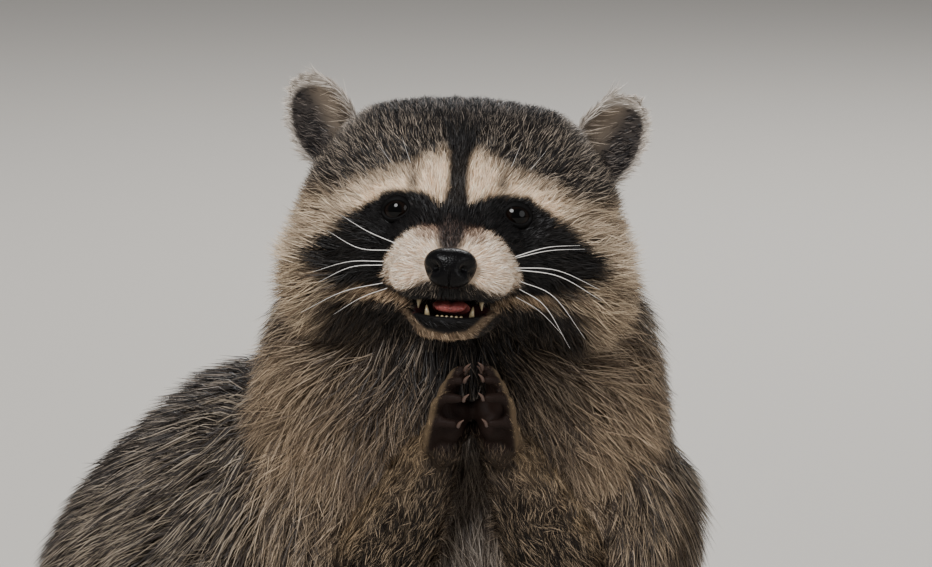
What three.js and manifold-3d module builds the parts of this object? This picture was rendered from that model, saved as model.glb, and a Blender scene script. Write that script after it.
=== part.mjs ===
// A raccoon, life size, sitting on its rump and hind feet with its forequarters raised.
// It holds its forepaws together under its chin, palm to palm, and looks ahead with
// its mouth a little open. The solids reach out to the tips of the coat.
//
// Millimetres, +Z up, face towards -Y, the animal's left towards +X. The chest faces ahead
// and the hindquarters swing back to its right. A body form is a run of sections carried
// along a smooth curve through a few stations, each [x, y, z, side, back, belly]: a place
// on the form's middle line and how far the coat reaches to the sides, back and belly.

import * as THREE from 'three';
import { LoftGeometry } from 'three/addons/geometries/LoftGeometry.js';
import { mergeVertices } from 'three/addons/utils/BufferGeometryUtils.js';
import Module from 'manifold-3d';

const wasm = await Module();
wasm.setup();

// ---- Driving dimensions ----

const GAP = 0.3; // left between neighbours
const SIDES = [
  { name: 'right', s: -1 },
  { name: 'left', s: 1 },
];

// Head, in its own frame: origin between the eyes, y from the nose back to the nape.
const HEAD_PLACE = [-5.5, 0, 335];
const HEAD_TURN = { pitch: -10, roll: 2.5, yaw: -2 }; // degrees
const SKULL = [
  [0, -47, -22, 12, 8, 12],
  [0, -40, -22, 19, 11.5, 13.5],
  [0, -30, -22, 25, 15, 14.5],
  [0, -20, -20, 28, 17, 17],
  [0, -10, -16, 34, 21, 26],
  [0, 0, -12, 50, 31, 38],
  [0, 12, -10, 62, 43, 46],
  [0, 28, -8, 68, 52.5, 52],
  [0, 48, -8, 68, 58, 54],
  [0, 66, -10, 60, 54, 48],
  [0, 84, -12, 40, 32, 34],
];
const CHEEK = { place: [44, 30, -24], radii: [33, 34, 35] };
const EYE = { place: [23.4, -2.5, 0], radius: 8, hollow: [26, -14, 0], hollowRadius: 11 };
const NOSE = {
  place: [0, -48.5, -21],
  radii: [11, 7.5, 9.3],
  nostril: [5.4, -55.6, -21.5],
  nostrilRadii: [2.4, 3.4, 1.8],
};
const EAR = {
  base: [52, 46, 18],
  tip: [68, 53, 48],
  radii: [15.8, 10, 23],
  hollow: [12, 11, 19],
  forward: 6.5,
  turn: 16,
  raise: { right: 2.4, left: 0 }, // the right ear is pricked a little higher
};
const JAW = [
  [0, -37, -47, 9, 4, 4.5],
  [0, -30, -47, 14, 4.5, 5.5],
  [0, -20, -46, 17.5, 4.5, 7],
  [0, -8, -43, 20, 5, 9],
  [0, 6, -41, 22, 6, 9],
];
const UPPER_CANINE = { root: [11.2, -28, -33], tip: [11.8, -29.5, -42], radius: 1.7 };
const LOWER_CANINE = { root: [8.2, -32, -44], tip: [8.6, -33, -36.5], radius: 1.5 };
const INCISORS = { place: [0, -35.5, -42.6], radii: [6, 1.6, 2] };
const TONGUE = [
  [0, -31, -40.5, 6, 1.8, 2],
  [0, -20, -39.5, 7.5, 2, 3],
  [0, -8, -38.5, 7.5, 2, 3],
];

// Neck and trunk.
const NECK = [
  [-5, 42, 326, 66, 44, 50],
  [-6, 50, 300, 79, 44, 56],
  [-5, 64, 262, 90, 54, 65],
  [-5, 68, 232, 93, 66, 68],
  [-5, 76, 200, 90, 64, 64],
];
// The chest faces ahead; the back runs from inside it to the rump, turned by the hind yaw.
const CHEST = [
  [-4, 70, 268, 82, 60, 60],
  [-5, 73, 228, 100, 74, 75],
  [-6, 80, 185, 104, 80, 82],
  [-14, 89, 140, 99, 80, 82],
  [-28, 100, 72, 74, 60, 60],
];
const BACK = [
  [-10, 80, 280, 58, 44, 54],
  [-22, 94, 226, 88, 73, 76],
  [-38, 108, 190, 102, 92, 92],
  [-60, 126, 166, 112, 95, 116],
  [-87, 152, 136, 110, 98, 138],
  [-108, 184, 102, 100, 92, 140],
  [-131, 212, 71, 86, 76, 98],
  [-149, 234, 54, 58, 54, 64],
];
const HIND_YAW = 40.5; // degrees

// Hindquarters, in a frame of their own on the floor, turned by the hind yaw: x to the
// animal's left, y back. Left leg; the right one is its mirror image.
const HIND_PLACE = [-84, 150, 0];
const THIGH = [
  [62, 56, 72, 54, 58, 60],
  [80, 2, 72, 58, 62, 66],
  [90, -54, 58, 42, 44, 50],
];
const SHANK = [
  [90, -72, 40, 27],
  [89, -46, 29, 27],
  [84, -18, 20, 18],
];
const HIND_FOOT = [
  [82, -24, 15, 14, 13, 17],
  [82, -66, 12, 15, 11, 14],
  [84, -106, 9.5, 18, 9, 11.5],
];
const HIND_TOES = { length: 30, radii: [5, 4.2], inset: 10, spread: 7, fan: 6, arch: 1.6, height: 4.2 };

// Forelegs. Left leg; the right one is its mirror image.
const UPPER_ARM = [
  [56, 58, 244, 34],
  [62, 38, 200, 35],
  [50, 16, 160, 27],
];
const FOREARM = [
  [48, 14, 160, 27],
  [36, 4, 190, 24],
  [22, -6, 222, 15.5],
  [13.9, -12, 243, 10.5],
];
// Forepaws: fingers steepled, palms turned in and a little ahead.
const WRIST = [13.4, -12, 241];
const PAW_ALONG = [-0.12, -0.52, 0.85]; // from the wrist towards the fingertips, left paw
const PAW_LEAN = [0.03, 0, 0]; // both paws lean to the animal's left
const PALM_FACES = [-0.85, -0.5, 0.1];
const PALM = { along: 13, radii: [11.5, 6, 15] };
const FINGERS = [
  { across: -9, start: 20, length: 17, curl: 9.6 },
  { across: -3.1, start: 22, length: 19.5, curl: 6.6 },
  { across: 3.1, start: 22, length: 20, curl: 4 },
  { across: 9, start: 18, length: 17, curl: 2.6 },
];
const THUMB = { across: -10.5, start: 10, length: 14, curl: 10 };
const FINGER_RADII = [3.3, 2.6];
const FINGER_GATHER = 0.95; // the tips' spread as a share of the knuckles'
const KNUCKLE_ARCH = -1.2; // towards the other paw, as each finger's curl is
const FINGER_BEND = [0.8, 0.18]; // the last joint's share of the length, and of the curl
const FORE_CLAW = { length: 4.6, radius: 1.2, hook: 1.5, bend: 0.5 };
const HIND_CLAW = { length: 8, radius: 1.6, tipHeight: 1.8, bend: 1 };

// Tail: lies on the floor, from the rump round the animal's right side.
const TAIL = [
  [-140, 232, 52, 26],
  [-172, 262, 37, 32],
  [-214, 274, 35, 36],
  [-252, 260, 35, 36],
  [-278, 228, 34.5, 35.5],
  [-290, 190, 33, 34],
  [-290, 152, 30, 31],
  [-282, 122, 26, 26],
];
const TAIL_CUTS = [0.36, 0.68]; // shares of its length

// ---- Making solids ----

const radians = THREE.MathUtils.degToRad;
const vector = (list) => new THREE.Vector3(...list);

/** A closed surface's triangles as a manifold solid, with its shared corners merged. */
function solid(geometry) {
  const bare = new THREE.BufferGeometry();
  bare.setAttribute('position', geometry.attributes.position);
  bare.setIndex(geometry.index);
  const merged = mergeVertices(bare, 1e-3);
  const index = merged.index.array;
  const corners = [];
  for (let i = 0; i < index.length; i += 3) {
    const [a, b, c] = index.slice(i, i + 3);
    if (a !== b && b !== c && c !== a) corners.push(a, b, c);
  }
  return new wasm.Manifold(
    new wasm.Mesh({
      numProp: 3,
      vertProperties: new Float32Array(merged.attributes.position.array),
      triVerts: new Uint32Array(corners),
    }),
  );
}

/** Sections carried along the stations' curve. `across` gives the sideways direction at a
 *  share t of the stations, `square` the sections' squareness (2 is an ellipse), `cut` which
 *  ends are flat instead of round, and `grow` how far the surface is moved outwards. */
function form(stations, options = {}) {
  const { rings, around, square = 2, across, cut = [false, false], span = [0, 1], grow = 0 } = options;
  const middle = stations.map((station) => vector(station.slice(0, 3)));
  const sizes = stations.map(
    ([, , , side, back = side, belly = back]) => new THREE.Vector3(side, back, belly),
  );
  const line = new THREE.CatmullRomCurve3(middle, false, 'catmullrom', 0.5);
  line.arcLengthDivisions = 60;
  const profile = new THREE.CatmullRomCurve3(sizes, false, 'catmullrom', 0.5);
  const length = line.getLength();
  const startReach = sizes[0].y / length;
  const endReach = sizes.at(-1).y / length;
  const round = (steepness) => Math.sqrt(1 - steepness ** 2);
  const trim = GAP / 2 / length;
  const [from, to] = [span[0] > 0 ? span[0] + trim : 0, span[1] < 1 ? span[1] - trim : 1];
  const sections = [];
  for (let i = 0; i <= rings; i += 1) {
    const v = i / rings;
    const crowd = cut[0] && cut[1] ? 0 : 0.12;
    const u = THREE.MathUtils.lerp(from, to, v - crowd * Math.sin(2 * Math.PI * v));
    const t = line.getUtoTmapping(u);
    const centre = line.getPoint(t);
    const along = line.getTangent(t);
    const sideways = across ? across(t) : new THREE.Vector3(1, 0, 0);
    sideways.addScaledVector(along, -sideways.dot(along)).normalize();
    const backwards = sideways.clone().cross(along);
    const size = profile.getPoint(t);
    const startSteepness = cut[0] ? 0 : Math.max(0, 1 - u / startReach);
    const endSteepness = cut[1] ? 0 : Math.max(0, 1 - (1 - u) / endReach);
    const taper = round(startSteepness) * round(endSteepness);
    centre.addScaledVector(along, grow * (endSteepness - startSteepness));
    const ring = [];
    for (let j = 0; j < around; j += 1) {
      const angle = (-2 * Math.PI * j) / around;
      const x = Math.sign(Math.cos(angle)) * Math.abs(Math.cos(angle)) ** (2 / square);
      const y = Math.sign(Math.sin(angle)) * Math.abs(Math.sin(angle)) ** (2 / square);
      const depth = (y > 0 ? size.y : size.z) + grow;
      ring.push(
        centre
          .clone()
          .addScaledVector(sideways, x * taper * (size.x + grow))
          .addScaledVector(backwards, y * taper * depth),
      );
    }
    sections.push(ring);
  }
  return solid(new LoftGeometry(sections, { capStart: cut[0] || from > 0, capEnd: cut[1] || to < 1 }));
}

/** An ellipsoid with its middle at a place. */
function ball(place, radii, facets = [12, 8]) {
  const geometry = new THREE.SphereGeometry(1, ...facets);
  geometry.rotateX(Math.PI / 2);
  geometry.scale(...radii);
  geometry.translate(...place);
  return solid(geometry);
}

/** The stations mirrored to the side s. */
const sided = (stations, s) => stations.map(([x, ...rest]) => [s * x, ...rest]);

/** The biggest body of a cut solid. */
const biggest = (body) => body.decompose().reduce((a, b) => (b.volume() > a.volume() ? b : a));

/** A solid less its neighbours, each given as a solid that has already grown by the gap. */
const fitted = (body, ...neighbours) => biggest(neighbours.reduce((left, next) => left.subtract(next), body));

/** A pointed, slightly curved tooth or claw from its root to its tip. */
function point(root, tip, radius, bend = [0, 0, 0]) {
  const middle = root.clone().lerp(tip, 0.55).add(vector(bend));
  const stations = [
    [...root.toArray(), radius],
    [...middle.toArray(), radius * 0.72],
    [...tip.toArray(), radius * 0.16],
  ];
  const across = () => new THREE.Vector3(0.31, 0.83, -0.46);
  return form(stations, { rings: 2, around: 5, across, cut: [true, true] });
}

// ---- Finishes ----

const finish = (color, roughness) => ({ color, roughness, metalness: 0 });
const GRIZZLED_COAT = finish(0x6f665c, 0.95);
const PALE_COAT = finish(0xa8967f, 0.95);
const DARK_COAT = finish(0x2c2928, 0.95);
const PAW_SKIN = finish(0x2f2725, 0.7);
const NOSE_LEATHER = finish(0x0e0d0e, 0.35);
const EYEBALL = finish(0x0b0808, 0.08);
const CLAW_HORN = finish(0x7b675c, 0.45);
const TONGUE_FLESH = finish(0xb8625c, 0.45);

/** A named mesh of a manifold solid. */
function piece(name, body, look, parent) {
  const { vertProperties, triVerts } = body.getMesh();
  const geometry = new THREE.BufferGeometry();
  geometry.setAttribute('position', new THREE.BufferAttribute(vertProperties, 3));
  geometry.setIndex(new THREE.BufferAttribute(triVerts, 1));
  geometry.computeVertexNormals();
  const mesh = new THREE.Mesh(geometry, new THREE.MeshStandardMaterial(look));
  mesh.name = name;
  parent.add(mesh);
  return mesh;
}

const raccoon = new THREE.Group();
const mirrored = ([x, y, z], s) => new THREE.Vector3(s * x, y, z);
const inWorld = (body, group) => body.transform(group.matrix.elements);
const taken = []; // the limbs' solids, grown by the gap, that the trunk makes room for

// ---- Hind legs ----

const hindGroup = new THREE.Group();
hindGroup.position.set(...HIND_PLACE);
hindGroup.rotation.z = radians(HIND_YAW);
hindGroup.updateMatrix();
raccoon.add(hindGroup);

const FLOOR_SIZE = [2000, 2000, 200];
const floorBox = new THREE.BoxGeometry(...FLOOR_SIZE);
floorBox.translate(0, 0, -FLOOR_SIZE[2] / 2);
const floor = solid(floorBox);

for (const { name, s } of SIDES) {
  const thighForm = (grow) => form(sided(THIGH, s), { rings: 7, around: 12, grow });
  const shankForm = (grow) => form(sided(SHANK, s), { rings: 5, around: 10, grow });
  piece(`thigh_${name}`, thighForm(0), GRIZZLED_COAT, hindGroup);
  piece(`shank_${name}`, fitted(shankForm(0), thighForm(GAP)), DARK_COAT, hindGroup);
  taken.push(inWorld(thighForm(GAP), hindGroup), inWorld(shankForm(GAP), hindGroup));

  // The foot lies flat: a sole, five toes and their claws.
  let foot = form(sided(HIND_FOOT, s), { rings: 5, around: 8, square: 2.4 });
  const [footX, footY] = HIND_FOOT.at(-1);
  for (let i = 0; i < 5; i += 1) {
    const out = i - 2;
    const angle = radians(out * HIND_TOES.fan);
    const heading = new THREE.Vector3(Math.sin(angle), -Math.cos(angle), 0);
    const setBack = HIND_TOES.inset + HIND_TOES.arch * out * out;
    const root = new THREE.Vector3(s * footX + out * HIND_TOES.spread, footY + setBack, HIND_TOES.height);
    const end = root.clone().addScaledVector(heading, HIND_TOES.length).setZ(HIND_TOES.radii[1]);
    const stations = [
      [...root.toArray(), HIND_TOES.radii[0]],
      [...root.clone().lerp(end, 0.5).toArray(), HIND_TOES.radii[0]],
      [...end.toArray(), HIND_TOES.radii[1]],
    ];
    foot = foot.add(form(stations, { rings: 4, around: 5 }));
    const clawRoot = end.clone().addScaledVector(heading, GAP);
    const clawTip = clawRoot.clone().addScaledVector(heading, HIND_CLAW.length).setZ(HIND_CLAW.tipHeight);
    const claw = point(clawRoot, clawTip, HIND_CLAW.radius, [0, 0, HIND_CLAW.bend]);
    piece(`hindfoot_claw_${name}_${i + 1}`, claw, CLAW_HORN, hindGroup);
  }
  piece(`hindfoot_${name}`, fitted(foot, shankForm(GAP), thighForm(GAP), floor), PAW_SKIN, hindGroup);
}

// ---- Forelegs ----

for (const { name, s } of SIDES) {
  const limb = { rings: 6, around: 10 };
  const upperArmForm = (grow) => form(sided(UPPER_ARM, s), { ...limb, grow });
  const forearmForm = (grow) => form(sided(FOREARM, s), { ...limb, grow });
  piece(`upper_arm_${name}`, upperArmForm(0), GRIZZLED_COAT, raccoon);
  piece(`forearm_${name}`, fitted(forearmForm(0), upperArmForm(GAP)), DARK_COAT, raccoon);
  taken.push(upperArmForm(GAP), forearmForm(GAP));

  // The paw: a palm, four fingers and a thumb, each ending in a claw of its own.
  const along = mirrored(PAW_ALONG, s).add(vector(PAW_LEAN)).normalize();
  const palmFaces = mirrored(PALM_FACES, s);
  palmFaces.addScaledVector(along, -palmFaces.dot(along)).normalize();
  const outwards = palmFaces.clone().cross(along).multiplyScalar(s);
  const wrist = mirrored(WRIST, s);
  const inPaw = (across, out, forth) => {
    const shift = outwards.clone().multiplyScalar(across).addScaledVector(palmFaces, out);
    return wrist.clone().add(shift).addScaledVector(along, forth);
  };
  const axes = new THREE.Matrix4().makeBasis(outwards.clone().multiplyScalar(s), palmFaces, along);
  axes.setPosition(inPaw(0, 0, PALM.along));
  let paw = ball([0, 0, 0], PALM.radii, [8, 5]).transform(axes.elements);
  paw = paw.add(ball(wrist.toArray(), Array(3).fill(FOREARM.at(-1)[3] - 1), [7, 5]));
  const [bendShare, bendCurl] = FINGER_BEND;
  [...FINGERS, THUMB].forEach(({ across, start, length, curl }, i) => {
    const end = inPaw(across * FINGER_GATHER, curl, start + length);
    const stations = [
      [...inPaw(across, 0, start - 8).toArray(), FINGER_RADII[0]],
      [...inPaw(across, KNUCKLE_ARCH, start + length * 0.4).toArray(), FINGER_RADII[0]],
      [...inPaw(across, curl * bendCurl, start + length * bendShare).toArray(), FINGER_RADII[0] * 0.92],
      [...end.toArray(), FINGER_RADII[1]],
    ];
    paw = paw.add(form(stations, { rings: 4, around: 5, across: () => outwards.clone() }));
    const clawRoot = end.clone().addScaledVector(along, GAP);
    const clawTip = clawRoot.clone().addScaledVector(along, FORE_CLAW.length);
    clawTip.addScaledVector(palmFaces, FORE_CLAW.hook);
    const bend = palmFaces.clone().multiplyScalar(-FORE_CLAW.bend).toArray();
    const claw = point(clawRoot, clawTip, FORE_CLAW.radius, bend);
    piece(`forepaw_claw_${name}_${i + 1}`, claw, CLAW_HORN, raccoon);
  });
  piece(`forepaw_${name}`, fitted(paw, forearmForm(GAP)), PAW_SKIN, raccoon);
}

// ---- Trunk ----

const upright = new THREE.Vector3(0, 0, 1);
const hindAcross = new THREE.Vector3(1, 0, 0).applyAxisAngle(upright, radians(HIND_YAW));
function trunkForm(grow) {
  const section = { around: 16, square: 2.15, grow };
  const back = form(BACK, { ...section, rings: 11, across: () => hindAcross.clone() });
  return back.add(form(CHEST, { ...section, rings: 9 }));
}
piece('trunk', fitted(trunkForm(0), ...taken, floor), GRIZZLED_COAT, raccoon);
const trunkRoom = trunkForm(GAP);

// ---- Head ----

const headGroup = new THREE.Group();
headGroup.position.set(...HEAD_PLACE);
headGroup.rotation.set(radians(HEAD_TURN.pitch), radians(HEAD_TURN.roll), radians(HEAD_TURN.yaw), 'ZXY');
headGroup.updateMatrix();
raccoon.add(headGroup);

/** The skull with its cheek ruffs, without the hollows for the eyes and nose. */
function headForm(grow) {
  const ruffs = SIDES.map(({ s }) =>
    ball(mirrored(CHEEK.place, s).toArray(), CHEEK.radii.map((r) => r + grow), [12, 7]),
  );
  return ruffs.reduce((a, b) => a.add(b), form(SKULL, { rings: 13, around: 18, square: 2.45, grow }));
}
const headRoom = headForm(GAP);
const hollows = SIDES.flatMap(({ s }) => [
  ball(mirrored(EYE.place, s).toArray(), Array(3).fill(EYE.radius + GAP)),
  ball(mirrored(EYE.hollow, s).toArray(), Array(3).fill(EYE.hollowRadius), [10, 6]),
]);
const noseRoom = ball(NOSE.place, NOSE.radii.map((r) => r + GAP));
const upperTeeth = SIDES.map(({ s }) =>
  point(mirrored(UPPER_CANINE.root, s), mirrored(UPPER_CANINE.tip, s), UPPER_CANINE.radius),
);
const head = upperTeeth.reduce((a, b) => a.add(b), fitted(headForm(0), noseRoom, ...hollows));
piece('head', head, GRIZZLED_COAT, headGroup);

// The nose leather, with its two nostrils.
const nostrils = SIDES.map(({ s }) => ball(mirrored(NOSE.nostril, s).toArray(), NOSE.nostrilRadii, [6, 4]));
piece('nose', fitted(ball(NOSE.place, NOSE.radii), ...nostrils), NOSE_LEATHER, headGroup);

// Ears: short rounded shells, open ahead and a little out.
for (const { name, s } of SIDES) {
  const base = mirrored(EAR.base, s);
  const tip = mirrored(EAR.tip, s);
  const lean = THREE.MathUtils.radToDeg(Math.atan2(tip.x - base.x, tip.z - base.z));
  const shell = ball([0, 0, 0], EAR.radii, [12, 8]);
  const hollow = ball([0, -EAR.forward, 1], EAR.hollow, [9, 7]);
  const [x, y, z] = base.clone().lerp(tip, 0.5).toArray();
  const ear = shell.subtract(hollow).rotate([0, lean, s * EAR.turn]).translate([x, y, z + EAR.raise[name]]);
  piece(`ear_${name}`, fitted(ear, headRoom), DARK_COAT, headGroup);
}

// Eyes.
for (const { name, s } of SIDES) {
  const eye = piece(`eye_${name}`, ball([0, 0, 0], Array(3).fill(EYE.radius), [10, 8]), EYEBALL, headGroup);
  eye.position.copy(mirrored(EYE.place, s));
}

// Lower jaw with its canines and the row of incisors, and the tongue.
const jawForm = (grow) => form(JAW, { rings: 7, around: 12, square: 2.2, grow });
const lowerCanines = SIDES.map(({ s }) =>
  point(mirrored(LOWER_CANINE.root, s), mirrored(LOWER_CANINE.tip, s), LOWER_CANINE.radius),
);
const lowerTeeth = [...lowerCanines, ball(INCISORS.place, INCISORS.radii, [6, 4])];
piece('lower_jaw', lowerTeeth.reduce((a, b) => a.add(b), fitted(jawForm(0), headRoom)), PALE_COAT, headGroup);
const jawRoom = jawForm(GAP);
piece('tongue', fitted(form(TONGUE, { rings: 5, around: 8 }), jawRoom, headRoom), TONGUE_FLESH, headGroup);

// ---- Neck ----

const neck = form(NECK, { rings: 6, around: 18, square: 2.1, cut: [false, true] });
const neckRooms = [trunkRoom, ...taken, inWorld(headRoom, headGroup), inWorld(jawRoom, headGroup)];
piece('neck', fitted(neck, ...neckRooms), GRIZZLED_COAT, raccoon);

// ---- Tail ----

const tailEnds = [0, ...TAIL_CUTS, 1];
['tail_base', 'tail_middle', 'tail_tip'].forEach((name, i) => {
  const span = tailEnds.slice(i, i + 2);
  const length = form(TAIL, { rings: 6, around: 12, across: () => upright.clone(), span });
  piece(name, fitted(length, trunkRoom, floor), DARK_COAT, raccoon);
});

// The origin is on the floor, under the middle of the whole.
raccoon.updateMatrixWorld(true);
const extent = new THREE.Box3().setFromObject(raccoon, true);
const middle = extent.getCenter(new THREE.Vector3());
raccoon.position.set(-middle.x, -middle.y, -extent.min.z);

export default raccoon;
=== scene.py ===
"""A raccoon, life size, sitting up with its forepaws together under its chin."""

import bpy
import numpy as np
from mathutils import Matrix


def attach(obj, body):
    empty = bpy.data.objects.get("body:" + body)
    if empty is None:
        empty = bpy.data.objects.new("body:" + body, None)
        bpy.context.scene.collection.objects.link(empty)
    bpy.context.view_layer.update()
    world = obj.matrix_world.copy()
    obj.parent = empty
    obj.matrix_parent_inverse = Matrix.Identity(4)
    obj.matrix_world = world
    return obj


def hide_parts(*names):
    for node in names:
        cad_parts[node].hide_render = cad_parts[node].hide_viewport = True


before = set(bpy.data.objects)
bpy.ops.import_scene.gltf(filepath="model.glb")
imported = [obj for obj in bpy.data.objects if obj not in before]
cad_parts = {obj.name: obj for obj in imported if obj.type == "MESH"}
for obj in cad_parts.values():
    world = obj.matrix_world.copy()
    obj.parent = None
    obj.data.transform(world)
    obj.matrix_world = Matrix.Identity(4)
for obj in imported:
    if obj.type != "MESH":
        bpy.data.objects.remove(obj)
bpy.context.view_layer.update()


# ---- Camera ----
# It stands a little above the animal's face and looks slightly down at it, from far enough
# away that near and far parts keep their sizes.

ORIGIN = np.array([112.8217, -125.4187, 0.0])  # the forms' own origin in the part's frame, mm
LOOKED_AT = np.array([-2.0, 0.0, 305.7])
LOOKING_DOWN = np.radians(10.0)
CAMERA_DISTANCE = 2200.0
LENS = 207.3

toward_camera = np.array([0.0, -np.cos(LOOKING_DOWN), np.sin(LOOKING_DOWN)])
camera_data = bpy.data.cameras.new("camera")
camera = bpy.data.objects.new("camera", camera_data)
bpy.context.scene.collection.objects.link(camera)
camera.location = (LOOKED_AT + ORIGIN + toward_camera * CAMERA_DISTANCE) / 1000
camera.rotation_euler = (np.pi / 2 - LOOKING_DOWN, 0, 0)
camera_data.lens = LENS
camera_data.sensor_width = 36
camera_data.clip_end = 20
bpy.context.scene.camera = camera


# ---- Body forms ----
# The animal's flesh under its coat: trunk, neck, head, legs, feet and tail. Each form is a run of
# sections along a smooth curve through stations [x, y, z, side, back, belly], out to the coat's
# tips, and `coat` is how deep the coat is to the sides, back and belly. Millimetres.

SIDES = (-1, 1)


def through(points, shares):
    """A curve through points. Between two points it is the cubic whose slope at each end is half
    the step between that point's neighbours; past the ends the points are mirrored."""
    steps = len(points) - 1
    padded = np.vstack([2 * points[0] - points[1], points, 2 * points[-1] - points[-2]])
    first = np.minimum((shares * steps).astype(int), steps - 1)
    w = (shares * steps - first)[:, None]
    before, start, end, after = (padded[first + k] for k in range(4))
    leave = (end - before) / 2
    arrive = (after - start) / 2
    cubic = 2 * (start - end) + leave + arrive
    square = 3 * (end - start) - 2 * leave - arrive
    return start + leave * w + square * w**2 + cubic * w**3


def unit(vectors):
    """Each vector over its own length."""
    return vectors / np.maximum(np.linalg.norm(vectors, axis=-1, keepdims=True), 1e-9)


def turn(axis, degrees):
    """Rotation about a main axis: the angle's cosine and sine in the other two axes' rows."""
    a, b = [(1, 2), (2, 0), (0, 1)][axis]
    matrix = np.eye(3)
    angle = np.radians(degrees)
    matrix[a, a] = matrix[b, b] = np.cos(angle)
    matrix[a, b] = -np.sin(angle)
    matrix[b, a] = np.sin(angle)
    return matrix


def swept(stations, rings, coat=(0, 0, 0), across=(1, 0, 0)):
    """A form's middle line, its directions and its sections' sizes less the coat's depth. The
    sections are spaced by length along the line, closer together at its ends, where a rounded end
    shrinks them as a circle does and draws the line in by the coat's depth."""
    stations = np.array([(list(s) + [s[-1]] * 2)[:6] for s in stations], float)
    fine = np.linspace(0, 1, 61)
    line = through(stations[:, :3], fine)
    lengths = np.concatenate([[0], np.cumsum(np.linalg.norm(np.diff(line, axis=0), axis=1))])
    v = np.linspace(0, 1, rings + 1)
    u = v - 0.12 * np.sin(2 * np.pi * v)
    t = np.interp(u, lengths / lengths[-1], fine)
    centre = through(stations[:, :3], t)
    ahead = through(stations[:, :3], np.minimum(t + 1e-3, 1))
    along = unit(ahead - through(stations[:, :3], np.maximum(t - 1e-3, 0)))
    across = np.array(across, float)
    sideways = unit(across - along * (along @ across)[:, None])
    depths = through(np.broadcast_to(np.array(coat, float), (len(stations), 3)), t)
    start = np.maximum(0, 1 - u * lengths[-1] / stations[0, 4])
    end = np.maximum(0, 1 - (1 - u) * lengths[-1] / stations[-1, 4])
    return {
        "centre": centre + along * ((start - end) * depths.mean(1))[:, None],
        "along": along,
        "sideways": sideways,
        "backwards": np.cross(sideways, along),
        "sizes": through(stations[:, 3:], t) - depths,
        "taper": np.sqrt(1 - start**2) * np.sqrt(1 - end**2),
        "share": u,
    }


def sections(form, around, square):
    """The swept form's surface: in each section a superellipse, whose cosine and sine are raised
    to 2 over its squareness, with one half as deep as the back and the other as the belly."""
    angle = np.linspace(0, 2 * np.pi, around, endpoint=False)
    x = np.sign(np.cos(angle)) * np.abs(np.cos(angle)) ** (2 / square)
    y = np.sign(np.sin(angle)) * np.abs(np.sin(angle)) ** (2 / square)
    sizes = form["sizes"] * form["taper"][:, None]
    depth = np.where(y > 0, sizes[:, 1:2], sizes[:, 2:3])
    sideways = form["sideways"][:, None] * (x * sizes[:, :1])[..., None]
    backwards = form["backwards"][:, None] * (y * depth)[..., None]
    return form["centre"][:, None] + sideways + backwards


def sphere(rings, around):
    """Directions on a grid: sines and cosines of latitude and longitude, poles on the z axis."""
    v = np.linspace(0, np.pi, rings)[:, None]
    u = np.linspace(0, 2 * np.pi, around, endpoint=False)[None]
    return np.stack([np.sin(v) * np.cos(u), np.sin(v) * np.sin(u), np.cos(v) + 0 * u], -1)


def grid_faces(rings, around):
    """Quads between neighbouring rows of a grid whose rows close on themselves."""
    row, column = np.meshgrid(np.arange(rings - 1), np.arange(around), indexing="ij")
    following = (column + 1) % around
    corners = (row * around + column, (row + 1) * around + column,
               (row + 1) * around + following, row * around + following)
    return np.stack(corners, -1).reshape(-1, 4)


HEAD_PLACE = np.array([-5.5, 0.0, 335.0])
HEAD_TURN = turn(2, -2) @ turn(0, -10) @ turn(1, 2.5)
HIND_PLACE = np.array([-84.0, 150.0, 0.0])
HIND_TURN = turn(2, 40.5)
HIND_ACROSS = HIND_TURN[:, 0]
STANDING = (np.zeros(3), np.eye(3))
IN_HEAD = (HEAD_PLACE, HEAD_TURN)
IN_HIND = (HIND_PLACE, HIND_TURN)

SKULL = [
    [0, -47, -22, 12, 8, 12], [0, -40, -22, 19, 11.5, 13.5], [0, -30, -22, 25, 15, 14.5],
    [0, -20, -20, 28, 17, 17], [0, -10, -16, 34, 21, 26], [0, 0, -12, 50, 31, 38],
    [0, 12, -10, 62, 43, 46], [0, 28, -8, 68, 52.5, 52], [0, 48, -8, 68, 58, 54],
    [0, 66, -10, 60, 54, 48], [0, 84, -12, 40, 32, 34],
]
SKULL_COAT = [
    [1.4, 1.2, 1.2], [2.2, 1.5, 1.4], [2.8, 1.8, 1.8], [3, 2.2, 3], [4, 2.8, 7],
    [6, 2.8, 10], [7, 2.8, 12], [8, 3.2, 13], [9, 4.4, 14], [10, 6.5, 14], [11, 9, 13],
]
CHEEK = {"place": [44, 30, -24], "radii": [33, 34, 35], "coat": 8.5}
WHISKER_PAD = {"place": [13, -34, -26.5], "radii": [10.5, 11, 8.5]}
JAW = [
    [0, -37, -47, 9, 4, 4.5], [0, -30, -47, 14, 4.5, 5.5], [0, -20, -46, 17.5, 4.5, 7],
    [0, -8, -43, 20, 5, 9], [0, 6, -41, 22, 6, 9],
]
LIP = [  # the lower lip's edge, round the front of the jaw
    [-17.5, -12, -41, 2], [-15.5, -26, -42, 1.9], [-9, -35.6, -43.4, 1.9], [0, -38.6, -44, 1.9],
    [9, -35.6, -43.4, 1.9], [15.5, -26, -42, 1.9], [17.5, -12, -41, 2],
]
NECK = [
    [-5, 42, 326, 66, 44, 50], [-6, 50, 300, 79, 44, 56], [-5, 64, 262, 90, 54, 65],
    [-5, 68, 232, 93, 66, 68], [-5, 76, 190, 90, 66, 66], [-5, 80, 150, 80, 60, 60],
]
CHEST = [
    [-4, 70, 268, 82, 60, 60], [-5, 73, 228, 100, 74, 75], [-6, 80, 185, 104, 80, 82],
    [-14, 89, 140, 99, 80, 82], [-28, 100, 72, 74, 60, 60],
]
NECK_COAT = [[17, 13, 17], [17, 13, 17], [17, 13, 16], [15, 13, 16], [12, 13, 16], [12, 13, 16]]
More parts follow.
